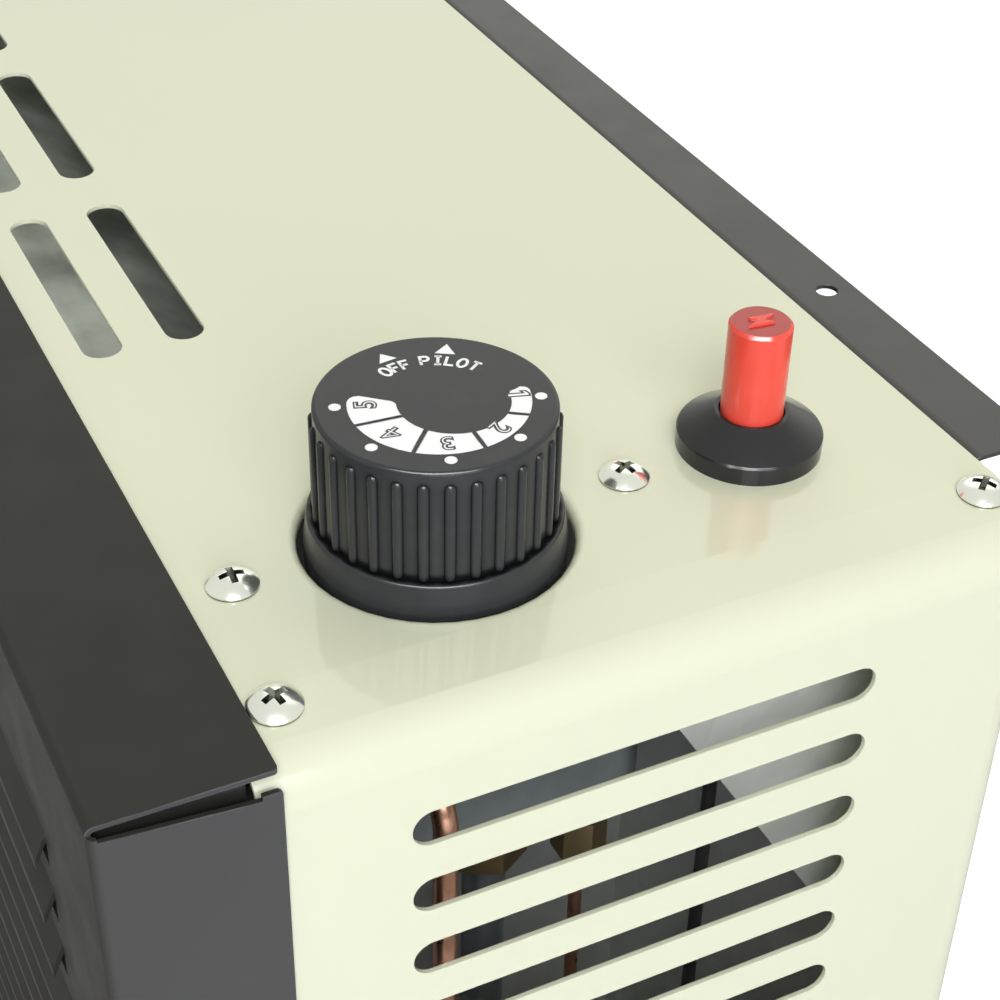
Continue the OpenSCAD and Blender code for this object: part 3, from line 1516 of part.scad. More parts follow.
cabinet_wrap();
front_frame();
front_grille();
rear_panel();
base_pan();
hose_plate();
side_rails();
top_deflector();
control_partition();
left_shield();
valve_bracket();
gas_valve();
valve_stem();
spring_seat();
knob_spring();
control_knob();
igniter_collar();
igniter_nut();
igniter_cartridge();
igniter_spring();
igniter_button();
igniter_lead();
inlet_fitting();
gas_regulator();
regulator_bracket();
inlet_tube();
burner_feed();
pilot_tube();
thermocouple();
sensing_bulb();
bulb_clips();
tube_nuts();
chamber_front();
chamber_back();
chamber_legs();
main_burner();
burner_brackets();
orifice_holder();
pilot_bracket();
pilot_burner();
spark_electrode();
service_plate();
service_gasket();
sight_glass();
glass_gasket();
glass_frame();
air_box();
intake_collar();
intake_flange();
flue_collar();
flue_flange();
vent_gasket();
top_screws();
frame_screws();
base_screws();
rear_screws();
valve_screws();
plate_screws();
glass_screws();
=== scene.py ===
"""Dresses the wall-vented room heater: finishes, the dial's print, the stage, the light and the camera."""

from __future__ import annotations

import logging
import math
from dataclasses import dataclass, field, replace
from enum import Enum

import bmesh
import bpy
from mathutils import Matrix, Vector


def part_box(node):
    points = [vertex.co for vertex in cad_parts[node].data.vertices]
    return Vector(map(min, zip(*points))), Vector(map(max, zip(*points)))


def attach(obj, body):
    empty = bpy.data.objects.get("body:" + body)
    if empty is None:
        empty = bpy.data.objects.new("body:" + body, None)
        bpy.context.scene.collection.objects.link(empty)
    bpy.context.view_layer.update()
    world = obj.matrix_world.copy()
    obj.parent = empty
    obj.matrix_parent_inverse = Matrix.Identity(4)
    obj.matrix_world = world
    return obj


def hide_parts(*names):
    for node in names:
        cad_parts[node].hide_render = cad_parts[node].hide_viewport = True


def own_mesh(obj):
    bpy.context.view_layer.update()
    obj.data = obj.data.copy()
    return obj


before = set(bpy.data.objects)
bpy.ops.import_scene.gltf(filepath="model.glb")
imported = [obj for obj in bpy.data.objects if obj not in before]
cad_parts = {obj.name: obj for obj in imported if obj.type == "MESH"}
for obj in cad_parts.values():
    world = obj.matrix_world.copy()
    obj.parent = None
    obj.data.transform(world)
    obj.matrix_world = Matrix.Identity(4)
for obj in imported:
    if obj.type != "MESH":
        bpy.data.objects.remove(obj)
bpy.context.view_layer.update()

LOG = logging.getLogger("heater")
MM = 0.001
NEUTRAL = (1.0, 1.0, 1.0)
COOL = (0.84, 0.85, 1.0)
WARM = (1.0, 0.99, 0.95)

Triple = tuple[float, float, float]
Colour = Triple
Point = tuple[float, float]
Socket = bpy.types.NodeSocket
Material = bpy.types.Material
Piece = bpy.types.Object

# Cosines between the true and the softened normal, on an edge and away from it
EDGE_COSINES: Point = (0.82, 0.995)
# Shares of open sky, deep in a recess and out of it
OPEN_SKY: Point = (0.72, 0.98)
# Least cosine of half a corner's turn that a mitre follows
MITRE = 0.5
# Distance in metres under which two points are one
MEET = 1e-9
# Sides of a round letter or dot
ROUND = 24
# Middle of a letter in its box one unit high
LETTER_MIDDLE: Point = (0.3, 0.5)


# Node trees and fine relief


class Grain(Enum):
    """Kinds of fine relief that a surface can carry."""

    PEEL = "peel"
    POWDER = "powder"
    BRUSHED = "brushed"
    SAND = "sand"
    FELT = "felt"


@dataclass(frozen=True)
class Relief:
    """Fine relief of a surface.

    Attributes:
        kind: Kind of relief.
        size: Size of its features in metres.
        depth: Its depth in metres.
    """

    kind: Grain
    size: float
    depth: float


class Tree:
    """A node tree while it is being put together."""

    def __init__(self, tree: bpy.types.NodeTree) -> None:
        """Start with an emptied tree.

        Args:
            tree: The tree of a material or of a world.
        """
        self.tree = tree
        self.tree.nodes.clear()

    def node(self, kind: str, **settings: object) -> bpy.types.Node:
        """Add a node and set its plain properties.

        Args:
            kind: Blender's name for the node type.
            settings: Property values by name.

        Returns:
            The new node.
        """
        made = self.tree.nodes.new(kind)
        for key, value in settings.items():
            setattr(made, key, value)
        return made

    def link(self, start: Socket, end: Socket) -> None:
        """Join two sockets."""
        self.tree.links.new(start, end)

    def feed(self, socket: Socket, value: object) -> None:
        """Set a socket from a number, a colour or another socket.

        Args:
            socket: The socket to set.
            value: A plain value or a socket to link from.
        """
        if isinstance(value, bpy.types.NodeSocket):
            self.link(value, socket)
        elif isinstance(value, tuple) and len(value) == 3 and socket.type == "RGBA":
            socket.default_value = (*value, 1.0)
        else:
            socket.default_value = value

    def spread(self, value: Socket, low: float, high: float, start: float = 0.3, end: float = 0.7) -> Socket:
        """Stretch a value from one range to another.

        Args:
            value: The value to stretch.
            low: Result at start.
            high: Result at end.
            start: Lower end of the value's own range.
            end: Upper end of the value's own range.

        Returns:
            The stretched value, held inside low and high.
        """
        made = self.node("ShaderNodeMapRange")
        ends = {"Value": value, "From Min": start, "From Max": end, "To Min": low, "To Max": high}
        for key, given in ends.items():
            self.feed(made.inputs[key], given)
        return made.outputs["Result"]

    def sums(self, operation: str, first: object, second: object) -> Socket:
        """Combine two values.

        Args:
            operation: Name of the Math node's operation.
            first: A number or a socket.
            second: A number or a socket.

        Returns:
            The result.
        """
        made = self.node("ShaderNodeMath", operation=operation)
        self.feed(made.inputs[0], first)
        self.feed(made.inputs[1], second)
        return made.outputs[0]

    def tint(self, amount: object, plain: object, other: object) -> Socket:
        """Mix two colours.

        Args:
            amount: Share of the second colour.
            plain: Colour or socket at 0.
            other: Colour or socket at 1.

        Returns:
            The mixed colour.
        """
        made = self.node("ShaderNodeMix", data_type="RGBA")
        self.feed(made.inputs[0], amount)
        self.feed(made.inputs[6], plain)
        self.feed(made.inputs[7], other)
        return made.outputs[2]


class Graph(Tree):
    """A material's node tree, with the patterns that surfaces are made of."""

    def __init__(self, name: str) -> None:
        """Start an empty material.

        Args:
            name: Name of the material.
        """
        self.material = bpy.data.materials.new(name)
        self.material.use_nodes = True
        super().__init__(self.material.node_tree)
        self.out = self.node("ShaderNodeOutputMaterial")
        self.place = self.node("ShaderNodeTexCoord").outputs["Object"]

    def stretched(self, scale: Triple) -> Socket:
        """Give the surface's own coordinates with a different scale on each axis.

        Args:
            scale: Factor on X, Y and Z.

        Returns:
            The scaled coordinates.
        """
        made = self.node("ShaderNodeMapping")
        made.inputs["Scale"].default_value = scale
        self.link(self.place, made.inputs["Vector"])
        return made.outputs["Vector"]

    def noise(self, size: float, detail: float = 3.0, along: Socket | None = None) -> Socket:
        """Make soft noise.

        Args:
            size: Size of its largest features in metres.
            detail: Number of finer layers.
            along: Coordinates to use in place of the surface's own.

        Returns:
            A value from 0 to 1.
        """
        made = self.node("ShaderNodeTexNoise")
        made.inputs["Scale"].default_value = 1.0 / size
        made.inputs["Detail"].default_value = detail
        self.link(along or self.place, made.inputs["Vector"])
        return made.outputs[0]

    def cells(self, size: float) -> tuple[Socket, Socket]:
        """Make a pattern of cells.

        Args:
            size: Size of a cell in metres.

        Returns:
            Two random values from 0 to 1, each the same all over a cell.
        """
        made = self.node("ShaderNodeTexVoronoi")
        made.inputs["Scale"].default_value = 1.0 / size
        self.link(self.place, made.inputs["Vector"])
        parts = self.node("ShaderNodeSeparateColor")
        self.link(made.outputs["Color"], parts.inputs[0])
        return parts.outputs[0], parts.outputs[1]

    def rounded(self, radius: float) -> tuple[Socket, Socket]:
        """Soften sharp edges in the shading and find where they are.

        Args:
            radius: Radius of the softened edge in metres.

        Returns:
            The softened normal, and a value that rises to 1 on edges.
        """
        bevel = self.node("ShaderNodeBevel", samples=4)
        bevel.inputs["Radius"].default_value = radius
        flat = self.node("ShaderNodeNewGeometry")
        dot = self.node("ShaderNodeVectorMath", operation="DOT_PRODUCT")
        self.link(bevel.outputs[0], dot.inputs[0])
        self.link(flat.outputs["Normal"], dot.inputs[1])
        edge = self.spread(dot.outputs["Value"], 1.0, 0.0, *EDGE_COSINES)
        return bevel.outputs[0], edge

    def hollows(self, reach: float, own: bool = True) -> Socket:
        """Find narrow recesses.

        Args:
            reach: Width of the recesses in metres.
            own: Whether only the piece's own faces close a recess.

        Returns:
            A value that rises to 1 deep in a recess.
        """
        open_sky = self.node("ShaderNodeAmbientOcclusion", samples=8, only_local=own)
        open_sky.inputs["Distance"].default_value = reach
        return self.spread(open_sky.outputs["AO"], 1.0, 0.0, *OPEN_SKY)

    def relief(self, height: Socket, depth: float, normal: Socket) -> Socket:
        """Turn a height into a bumped normal.

        Args:
            height: Height from 0 to 1.
            depth: Depth of the relief in metres.
            normal: Normal to start from.

        Returns:
            The bumped normal.
        """
        made = self.node("ShaderNodeBump")
        made.inputs["Strength"].default_value = 1.0
        made.inputs["Distance"].default_value = depth
        self.link(height, made.inputs["Height"])
        self.link(normal, made.inputs["Normal"])
        return made.outputs[0]

    def grained(self, fine: Relief, normal: Socket) -> Socket:
        """Give a surface its fine relief.

        Args:
            fine: The relief.
            normal: Normal to start from.

        Returns:
            The bumped normal.
        """
        if fine.kind is Grain.BRUSHED:
            height = self.noise(fine.size, detail=4.0, along=self.stretched((0.06, 1.0, 1.0)))
        elif fine.kind is Grain.POWDER:
            finer = self.noise(fine.size * 0.4, detail=1.0)
            height = self.sums("ADD", self.noise(fine.size, detail=2.0), finer)
        elif fine.kind is Grain.FELT:
            height = self.noise(fine.size, detail=6.0, along=self.stretched((1.0, 0.35, 1.0)))
        else:
            height = self.noise(fine.size, detail=1.0 if fine.kind is Grain.PEEL else 4.0)
        return self.relief(height, fine.depth, normal)

    def surface(self, **values: object) -> Material:
        """Close the tree with one shader.

        Args:
            values: The shader's sockets by name, with underscores for spaces.

        Returns:
            The finished material.
        """
        shader = self.node("ShaderNodeBsdfPrincipled")
        for key, value in values.items():
            self.feed(shader.inputs[key.replace("_", " ")], value)
        self.link(shader.outputs[0], self.out.inputs["Surface"])
        return self.material


# Finishes


@dataclass(frozen=True)
class Coat:
    """Baked paint or powder on sheet metal.

    Attributes:
        name: Name of the finish.
        colour: Main colour.
        shade: Colour of faint clouds in the coat.
        worn: Colour along edges, for rubbed paint and for a painted edge highlight.
        wear: Share of that colour on an edge.
        roughness: Lowest and highest roughness.
        grain: Fine relief.
        edge: Radius of softened edges in metres.
        shine: Level of the mirror reflection, 0.5 for plain lacquer.
    """

    name: str
    colour: Colour
    shade: Colour
    worn: Colour
    wear: float
    roughness: Point
    grain: Relief
    edge: float = 0.35 * MM
    shine: float = 0.5

    def make(self) -> Material:
        """Build the material.

        Returns:
            The material.
        """
        graph = Graph(self.name)
        normal, edge = graph.rounded(self.edge)
        clouds = graph.spread(graph.noise(45 * MM, detail=4.0), 0.0, 1.0)
        base = graph.tint(clouds, self.colour, self.shade)
        # Lighter edges: partly rubbed paint, partly a painted edge highlight.
        patches = graph.spread(graph.noise(9 * MM, detail=5.0), 0.0, self.wear, start=0.42, end=0.6)
        base = graph.tint(graph.sums("MULTIPLY", edge, patches), base, self.worn)
        return graph.surface(
            Base_Color=base,
            Roughness=graph.spread(graph.noise(14 * MM, detail=5.0), *self.roughness),
            Specular_IOR_Level=self.shine,
            Normal=graph.grained(self.grain, normal),
        )


@dataclass(frozen=True)
class Spangle:
    """Hot-dipped zinc with its crystals showing.

    Attributes:
        name: Name of the finish.
        light: Colour of the bright crystals.
        dark: Colour of the dull crystals.
        size: Size of a crystal in metres.
        roughness: Lowest and highest roughness.
        metallic: Share of mirror metal, the rest being dull grey skin.
        crystals: Largest share of the dull colour in a crystal.
        clouds: Largest share of the dull colour in a cloud.
        rubbed: Share of the bright colour on an edge.
    """

    name: str
    light: Colour
    dark: Colour
    size: float = 7 * MM
    roughness: Point = (0.32, 0.5)
    metallic: float = 0.55
    crystals: float = 0.5
    clouds: float = 0.6
    rubbed: float = 0.4

    def make(self) -> Material:
        """Build the material.

        Returns:
            The material.
        """
        graph = Graph(self.name)
        normal, edge = graph.rounded(radius=0.3 * MM)
        shades, gleams = graph.cells(self.size)
        film = graph.spread(graph.noise(24 * MM, detail=4.0), 0.0, self.clouds)
        base = graph.tint(graph.sums("MULTIPLY", shades, self.crystals), self.light, self.dark)
        base = graph.tint(film, base, self.dark)
        base = graph.tint(graph.sums("MULTIPLY", edge, self.rubbed), base, self.light)
        return graph.surface(
            Base_Color=base,
            Metallic=self.metallic,
            Roughness=graph.spread(gleams, *self.roughness, start=0.0, end=1.0),
            Normal=graph.relief(graph.noise(1.5 * MM), depth=0.02 * MM, normal=normal),
        )


@dataclass(frozen=True)
class Moulding:
    """Moulded plastic, rubber or glazed ceramic.

    Attributes:
        name: Name of the finish.
        colour: Main colour.
        scuffed: Colour of scuffs and rubbed edges.
        roughness: Lowest and highest roughness.
        grain: Fine relief.
        glow: Weight of light scattered under the surface.
        edge: Radius of softened edges in metres.
        scuff: Share of the scuffed colour on an edge.
        shine: Level of the mirror reflection, 0.5 for plain plastic.
        corners: Share of shade painted into narrow corners, darkening the colour and the reflection.
        dust: Largest share of the scuffed colour as dust.
    """

    name: str
    colour: Colour
    scuffed: Colour
    roughness: Point
    grain: Relief = Relief(Grain.SAND, 0.35 * MM, 0.006 * MM)
    glow: float = 0.0
    edge: float = 0.3 * MM
    scuff: float = 0.5
    shine: float = 0.5
    corners: float = 0.0
    dust: float = 0.06

    def tone(self, graph: Graph, base: Socket) -> Socket:
        """Give the colour with what a special kind of moulding adds, here nothing."""
        return base

    def make(self) -> Material:
        """Build the material.

        Returns:
            The material.
        """
        graph = Graph(self.name)
        normal, edge = graph.rounded(self.edge)
        rubbed = graph.spread(graph.noise(3 * MM, detail=4.0), 0.0, self.scuff, start=0.35, end=0.65)
        base = graph.tint(graph.sums("MULTIPLY", edge, rubbed), self.colour, self.scuffed)
        dust = graph.spread(graph.noise(6 * MM, detail=5.0), 0.0, self.dust, start=0.5, end=0.75)
        base = self.tone(graph, graph.tint(dust, base, self.scuffed))
        shine: object = self.shine
        # Painted shade: narrow corners get a darker colour and a weaker reflection.
        if self.corners > 0:
            painted_corner_shade = graph.sums("MULTIPLY", graph.hollows(reach=1.6 * MM), self.corners)
            base = graph.tint(painted_corner_shade, base, (0.0, 0.0, 0.0))
            shine = graph.sums("MULTIPLY", graph.sums("SUBTRACT", 1.0, painted_corner_shade), self.shine)
        return graph.surface(
            Base_Color=base,
            Roughness=graph.spread(graph.noise(8 * MM, detail=4.0), *self.roughness),
            Specular_IOR_Level=shine,
            Subsurface_Weight=self.glow,
            Subsurface_Scale=1.5 * MM,
            Normal=graph.grained(self.grain, normal),
        )


@dataclass(frozen=True)
class CappedMoulding(Moulding):
    """Moulded plastic whose flat end is darker, with raised signs on it in the plain colour.

    Attributes:
        cap: Colour of the darker flat end.
        level: Height up to which the end counts as darker, in metres.
        fade: Height over which the dulling ends, in metres.
    """

    cap: Colour = (0.43, 0.036, 0.028)
    level: float = 0.0
    fade: float = 0.1 * MM

    def tone(self, graph: Graph, base: Socket) -> Socket:
        """Darken the faces that look up and lie below the signs' tops.

        Args:
            graph: The material's node tree.
            base: The colour so far.

        Returns:
            The colour with the darker end.
        """
        place = graph.node("ShaderNodeSeparateXYZ")
        graph.link(graph.place, place.inputs[0])
        facing = graph.node("ShaderNodeSeparateXYZ")
        graph.link(graph.node("ShaderNodeNewGeometry").outputs["Normal"], facing.inputs[0])
        # Upward faces below the signs' tops are darker.
        below = graph.spread(place.outputs[2], 1.0, 0.0, start=self.level, end=self.level + self.fade)
        upward = graph.spread(facing.outputs[2], 0.0, 1.0, start=0.85, end=0.97)
        return graph.tint(graph.sums("MULTIPLY", below, upward), base, self.cap)


@dataclass(frozen=True)
class Metal:
    """Plated, turned, drawn or cast metal.

    Attributes:
        name: Name of the finish.
        bright: Colour of clean metal.
        stain: Colour of handled or heated patches.
        stained: Largest share of the stain.
        roughness: Lowest and highest roughness.
        grain: Fine relief.
        edge: Radius of softened edges in metres.
        metallic: Share of mirror metal, the rest being a dull skin.
        soil: Share of painted shade in narrow recesses and of a painted contact shadow at the foot.
        dirt: Colour of that painted shade.
        rubbed: Share of clean metal on an edge.
    """

    name: str
    bright: Colour
    stain: Colour
    stained: float
    roughness: Point
    grain: Relief = Relief(Grain.BRUSHED, 0.5 * MM, 0.004 * MM)
    edge: float = 0.25 * MM
    metallic: float = 1.0
    soil: float = 0.0
    dirt: Colour = (0.085, 0.09, 0.07)
    rubbed: float = 0.5

    def make(self) -> Material:
        """Build the material.

        Returns:
            The material.
        """
        graph = Graph(self.name)
        normal, edge = graph.rounded(self.edge)
        patches = graph.spread(graph.noise(12 * MM, detail=5.0), 0.0, self.stained, start=0.4, end=0.7)
        base = graph.tint(patches, self.bright, self.stain)
        base = graph.tint(graph.sums("MULTIPLY", edge, self.rubbed), base, self.bright)
        # Painted shade: darker colour in narrow recesses and a painted contact shadow along the foot.
        if self.soil > 0:
            recess = graph.hollows(reach=2.5 * MM)
            foot = graph.hollows(reach=0.45 * MM, own=False)
            dark = graph.sums("MULTIPLY", graph.sums("MAXIMUM", recess, foot), self.soil)
            base = graph.tint(dark, base, self.dirt)
        return graph.surface(
            Base_Color=base,
            Metallic=self.metallic,
            Roughness=graph.spread(graph.noise(5 * MM, detail=4.0), *self.roughness),
            Normal=graph.grained(self.grain, normal),
        )


@dataclass(frozen=True)
class Pane:
    """Clear heat-proof glass with a faint smoke film.

    Attributes:
        name: Name of the finish.
        colour: Colour of the glass.
        film: Roughness of clean and of filmed glass.
    """

    name: str
    colour: Colour
    film: Point

    def make(self) -> Material:
        """Build the material.

        Returns:
            The material.
        """
        graph = Graph(self.name)
        rough = graph.spread(graph.noise(12 * MM, detail=5.0), *self.film)
        return graph.surface(Base_Color=self.colour, Roughness=rough, Transmission_Weight=1.0, IOR=1.47)


CREAM = Coat(
    "cream_enamel", (0.700, 0.722, 0.528), (0.694, 0.716, 0.521), (0.78, 0.795, 0.62), 0.5,
    (0.07, 0.10), Relief(Grain.PEEL, 3.5 * MM, 0.002 * MM),
)
BLACK = Coat(
    "black_powder", (0.030, 0.029, 0.026), (0.034, 0.033, 0.029), (0.11, 0.105, 0.095), 0.55,
    (0.38, 0.47), Relief(Grain.POWDER, 0.5 * MM, 0.012 * MM),
)
FRONT_BLACK = Coat(
    "front_black", (0.027, 0.027, 0.024), (0.031, 0.031, 0.027), (0.13, 0.13, 0.12), 0.7,
    (0.48, 0.58), Relief(Grain.POWDER, 0.5 * MM, 0.012 * MM), shine=0.16,
)
FLUE_ENAMEL = Coat(
    "chamber_enamel", (0.15, 0.16, 0.16), (0.11, 0.11, 0.11), (0.20, 0.19, 0.18), 0.6,
    (0.5, 0.65), Relief(Grain.SAND, 0.8 * MM, 0.02 * MM),
)
BLACK_ZINC = Metal("black_zinc", (0.09, 0.09, 0.088), (0.05, 0.045, 0.04), 0.7, (0.3, 0.42))
GALVANISED = Spangle("galvanised_sheet", (0.69, 0.71, 0.68), (0.56, 0.58, 0.56), metallic=0.4)
CLOUDED = replace(
    GALVANISED, name="clouded_sheet", light=(0.76, 0.79, 0.74), dark=(0.26, 0.29, 0.26),
    roughness=(0.42, 0.46), crystals=0.06, clouds=0.95,
)
ZINC = Metal("bright_zinc", (0.80, 0.81, 0.82), (0.60, 0.60, 0.58), 0.4, (0.16, 0.28))
# The screws carry painted shade in the cross recess and a painted contact shadow round the foot.
SCREW_ZINC = Metal(
    "screw_zinc", (0.94, 0.97, 0.88), (0.82, 0.85, 0.77), 0.4, (0.15, 0.22),
    edge=0.1 * MM, metallic=0.94, soil=0.95,
)
# A darker copy of turned brass: painted shade for the tube nuts deep in the casing.
SHADED_BRASS = Metal("shaded_brass", (0.34, 0.26, 0.14), (0.22, 0.16, 0.09), 0.7, (0.36, 0.5))
BRASS = Metal("turned_brass", (0.80, 0.60, 0.28), (0.48, 0.33, 0.15), 0.6, (0.22, 0.36))
COPPER = Metal("drawn_copper", (0.74, 0.41, 0.28), (0.42, 0.22, 0.14), 0.7, (0.24, 0.4))
CAST = Metal(
    "cast_alloy", (0.26, 0.29, 0.30), (0.20, 0.22, 0.23), 0.6, (0.42, 0.58),
    Relief(Grain.SAND, 1.2 * MM, 0.04 * MM),
)
KNOB_BLACK = Moulding(
    "knob_plastic", (0.036, 0.0375, 0.0385), (0.12, 0.12, 0.125), (0.2, 0.26),
    edge=0.08 * MM, scuff=0.3, shine=0.22, corners=0.85,
)
COLLAR_BLACK = Moulding(
    "collar_plastic", (0.021, 0.022, 0.022), (0.08, 0.08, 0.085), (0.11, 0.17),
    Relief(Grain.PEEL, 1.5 * MM, 0.003 * MM), edge=0.15 * MM, shine=0.34,
)
BUTTON_RED = CappedMoulding(
    "button_plastic", (0.82, 0.072, 0.045), (0.90, 0.24, 0.18), (0.16, 0.24), glow=0.12, scuff=0.7,
)
LEAD_RUBBER = Moulding("lead_sleeve", (0.025, 0.025, 0.026), (0.09, 0.09, 0.09), (0.45, 0.6))
CERAMIC = Moulding(
    "pale_ceramic", (0.78, 0.77, 0.72), (0.55, 0.50, 0.42), (0.25, 0.4),
    Relief(Grain.PEEL, 1.8 * MM, 0.006 * MM),
)
FIBRE = Moulding(
    "pressed_fibre", (0.60, 0.57, 0.49), (0.42, 0.40, 0.35), (0.85, 0.95),
    Relief(Grain.FELT, 0.9 * MM, 0.08 * MM),
)
PRINT_WHITE = Moulding("print_white", (0.93, 0.94, 0.93), (0.62, 0.62, 0.60), (0.42, 0.52), scuff=0.2)
PRINT_DARK = Moulding("print_dark", (0.028, 0.028, 0.03), (0.08, 0.08, 0.08), (0.4, 0.5), scuff=0.2)
GLASS = Pane("sight_pane", (0.93, 0.95, 0.93), (0.02, 0.1))

Finish = Coat | Spangle | Moulding | Metal | Pane


class Paintbox:
    """Makes each finish once and puts it on pieces."""

    def __init__(self) -> None:
        """Start with no finish made."""
        self.made: dict[str, Material] = {}

    def paint(self, piece: Piece, finish: Finish) -> None:
        """Put a finish on a piece in place of what it has.

        Args:
            piece: The piece.
            finish: The finish, which is made the first time.
        """
        if finish.name not in self.made:
            self.made[finish.name] = finish.make()
        piece.data.materials.clear()
        piece.data.materials.append(self.made[finish.name])
        LOG.info("%s: %s", piece.name, finish.name)

    def nodes(self, finish: Finish, *names: str) -> None:
        """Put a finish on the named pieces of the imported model."""
        for name in names:
            self.paint(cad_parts[name], finish)

    def spring(self, finish: Metal, node: str, joint: str) -> None:
        """Stand a coil for a packed spring that shortens as its joint is pushed.

        Args:
            finish: The coil's metal.
            node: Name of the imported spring, which stands on its lower end.
            joint: Name of the slide that pushes its upper end down.
        """
        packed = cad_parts[node]
        coil = placed(f"{node}_coil", packed.data.copy())
        coil.matrix_world = packed.matrix_world.copy()
        self.paint(coil, finish)
        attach(coil, "heater")
        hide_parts(node)
        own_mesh(coil)
        LOG.info("%s shortens with %s", coil.name, joint)


# Pieces made here


def placed(name: str, data: bpy.types.ID) -> Piece:
    """Make an object in the scene.

    Args:
        name: Name of the object.
        data: Its mesh, text, camera or lamp.

    Returns:
        The object.
    """
    made = bpy.data.objects.new(name, data)
    bpy.context.scene.collection.objects.link(made)
    return made


class Flatwork:
    """Thin raised print, built from ribbons and plates on one level."""

    def __init__(self, origin: Vector, height: float) -> None:
        """Start an empty print.

        Args:
            origin: Middle of the print, on the surface that carries it.
            height: Thickness of the print in metres.
        """
        self.origin = origin
        self.sink = Vector((0.0, 0.0, -height / 2))
        self.rise = Vector((0.0, 0.0, height))
        self.mesh = bmesh.new()

    def prism(self, ring: list[Vector]) -> None:
        """Raise one outline into a thin plate.

        Args:
            ring: Corners in order, counter-clockwise seen from above.
        """
        low = [self.mesh.verts.new(self.origin + p + self.sink) for p in ring]
        high = [self.mesh.verts.new(self.origin + p + self.rise) for p in ring]
        self.mesh.faces.new(high)
        self.mesh.faces.new(list(reversed(low)))
        for i in range(len(ring)):
            j = (i + 1) % len(ring)
            self.mesh.faces.new((low[i], low[j], high[j], high[i]))

    def ribbon(self, left: list[Vector], right: list[Vector]) -> None:
        """Raise the strip between two lines of points.

        Args:
            left: Points along the left edge.
            right: Points along the right edge.
        """
        rows = [
            [
                self.mesh.verts.new(self.origin + p + off)
                for p, off in ((a, self.rise), (b, self.rise), (b, self.sink), (a, self.sink))
            ]
            for a, b in zip(left, right)
        ]
        for first, second in zip(rows, rows[1:]):
            for k in range(4):
                m = (k + 1) % 4
                self.mesh.faces.new((first[k], first[m], second[m], second[k]))
        self.mesh.faces.new(list(reversed(rows[0])))
        self.mesh.faces.new(rows[-1])

    def finish(self, name: str) -> Piece:
        """Turn the print into an object.

        Args:
            name: Name of the piece.

        Returns:
            The new object, in the scene.
        """
        bmesh.ops.recalc_face_normals(self.mesh, faces=self.mesh.faces)
        data = bpy.data.meshes.new(name)
        self.mesh.to_mesh(data)
        self.mesh.free()
        return placed(name, data)


def polar(radius: float, degrees: float) -> Vector:
    """Give the flat point at a radius in millimetres and an angle from +X."""
    angle = math.radians(degrees)
    return Vector((radius * math.cos(angle), radius * math.sin(angle), 0.0)) * MM


class Glyph(Enum):
    """Letters as pen strokes in a box one unit high, each stroke being a row of points."""

    O = tuple(
        (0.30 + 0.30 * math.cos(math.tau * i / ROUND), 0.5 + 0.5 * math.sin(math.tau * i / ROUND))
        for i in range(ROUND + 1)
    ),
    F = ((0.04, 0.0), (0.04, 1.0), (0.60, 1.0)), ((0.04, 0.52), (0.50, 0.52))
    P = (
        (0.04, 0.0), (0.04, 1.0), (0.36, 1.0), (0.50, 0.95), (0.58, 0.84), (0.60, 0.74), (0.58, 0.63),
        (0.50, 0.52), (0.36, 0.47), (0.04, 0.47),
    ),
    I = ((0.30, 0.0), (0.30, 1.0)), ((0.06, 0.0), (0.54, 0.0)), ((0.06, 1.0), (0.54, 1.0))
    L = ((0.04, 1.0), (0.04, 0.0), (0.60, 0.0)),
    T = ((0.30, 0.0), (0.30, 1.0)), ((0.0, 1.0), (0.60, 1.0))


def stroke_edges(points: list[Vector], width: float) -> tuple[list[Vector], list[Vector]]:
    """Give the two edges of a pen stroke with mitred corners.

    Args:
        points: Points along the middle of the stroke.
        width: Width of the stroke.

    Returns:
        The left and the right edge.
    """
    left: list[Vector] = []
    right: list[Vector] = []
    closed = (points[0] - points[-1]).length < MEET
    count = len(points)
    for i, p in enumerate(points):
        before = points[i - 1] if i > 0 else (points[-2] if closed else None)
        after = points[i + 1] if i < count - 1 else (points[1] if closed else None)
        pairs = ((before, p), (p, after))
        ways = [(b - a).normalized() for a, b in pairs if a is not None and b is not None]
        sides = [Vector((-w.y, w.x, 0.0)) for w in ways]
        middle = sum(sides, Vector()).normalized()
        reach = width / 2 / max(MITRE, middle.dot(sides[0]))
        left.append(p + middle * reach)
        right.append(p - middle * reach)
    return left, right


# Sub-assemblies


@dataclass(frozen=True)
class Stop:
    """One named stop of the dial, with an arrowhead outside its word.

    Lengths are in millimetres from the knob's axis, angles in degrees from +X.

    Attributes:
        word: The word.
        letters: Angle of each letter.
        radius: Radius at the letters' middles.
        angle: Angle of the arrowhead.
        tip: Radius of the arrowhead's tip.
        half: Half the angle that the arrowhead's foot spans.
    """

    word: str
    letters: tuple[float, ...]
    radius: float
    angle: float
    tip: float
    half: float


OFF_STOP = Stop("OFF", (-160.8, -170.2, -179.3), 13.2, -171.2, 18.7, 6.6)
PILOT_STOP = Stop("PILOT", (164.5, 153.9, 144.4, 134.3, 124.0), 13.5, 149.4, 19.2, 6.8)


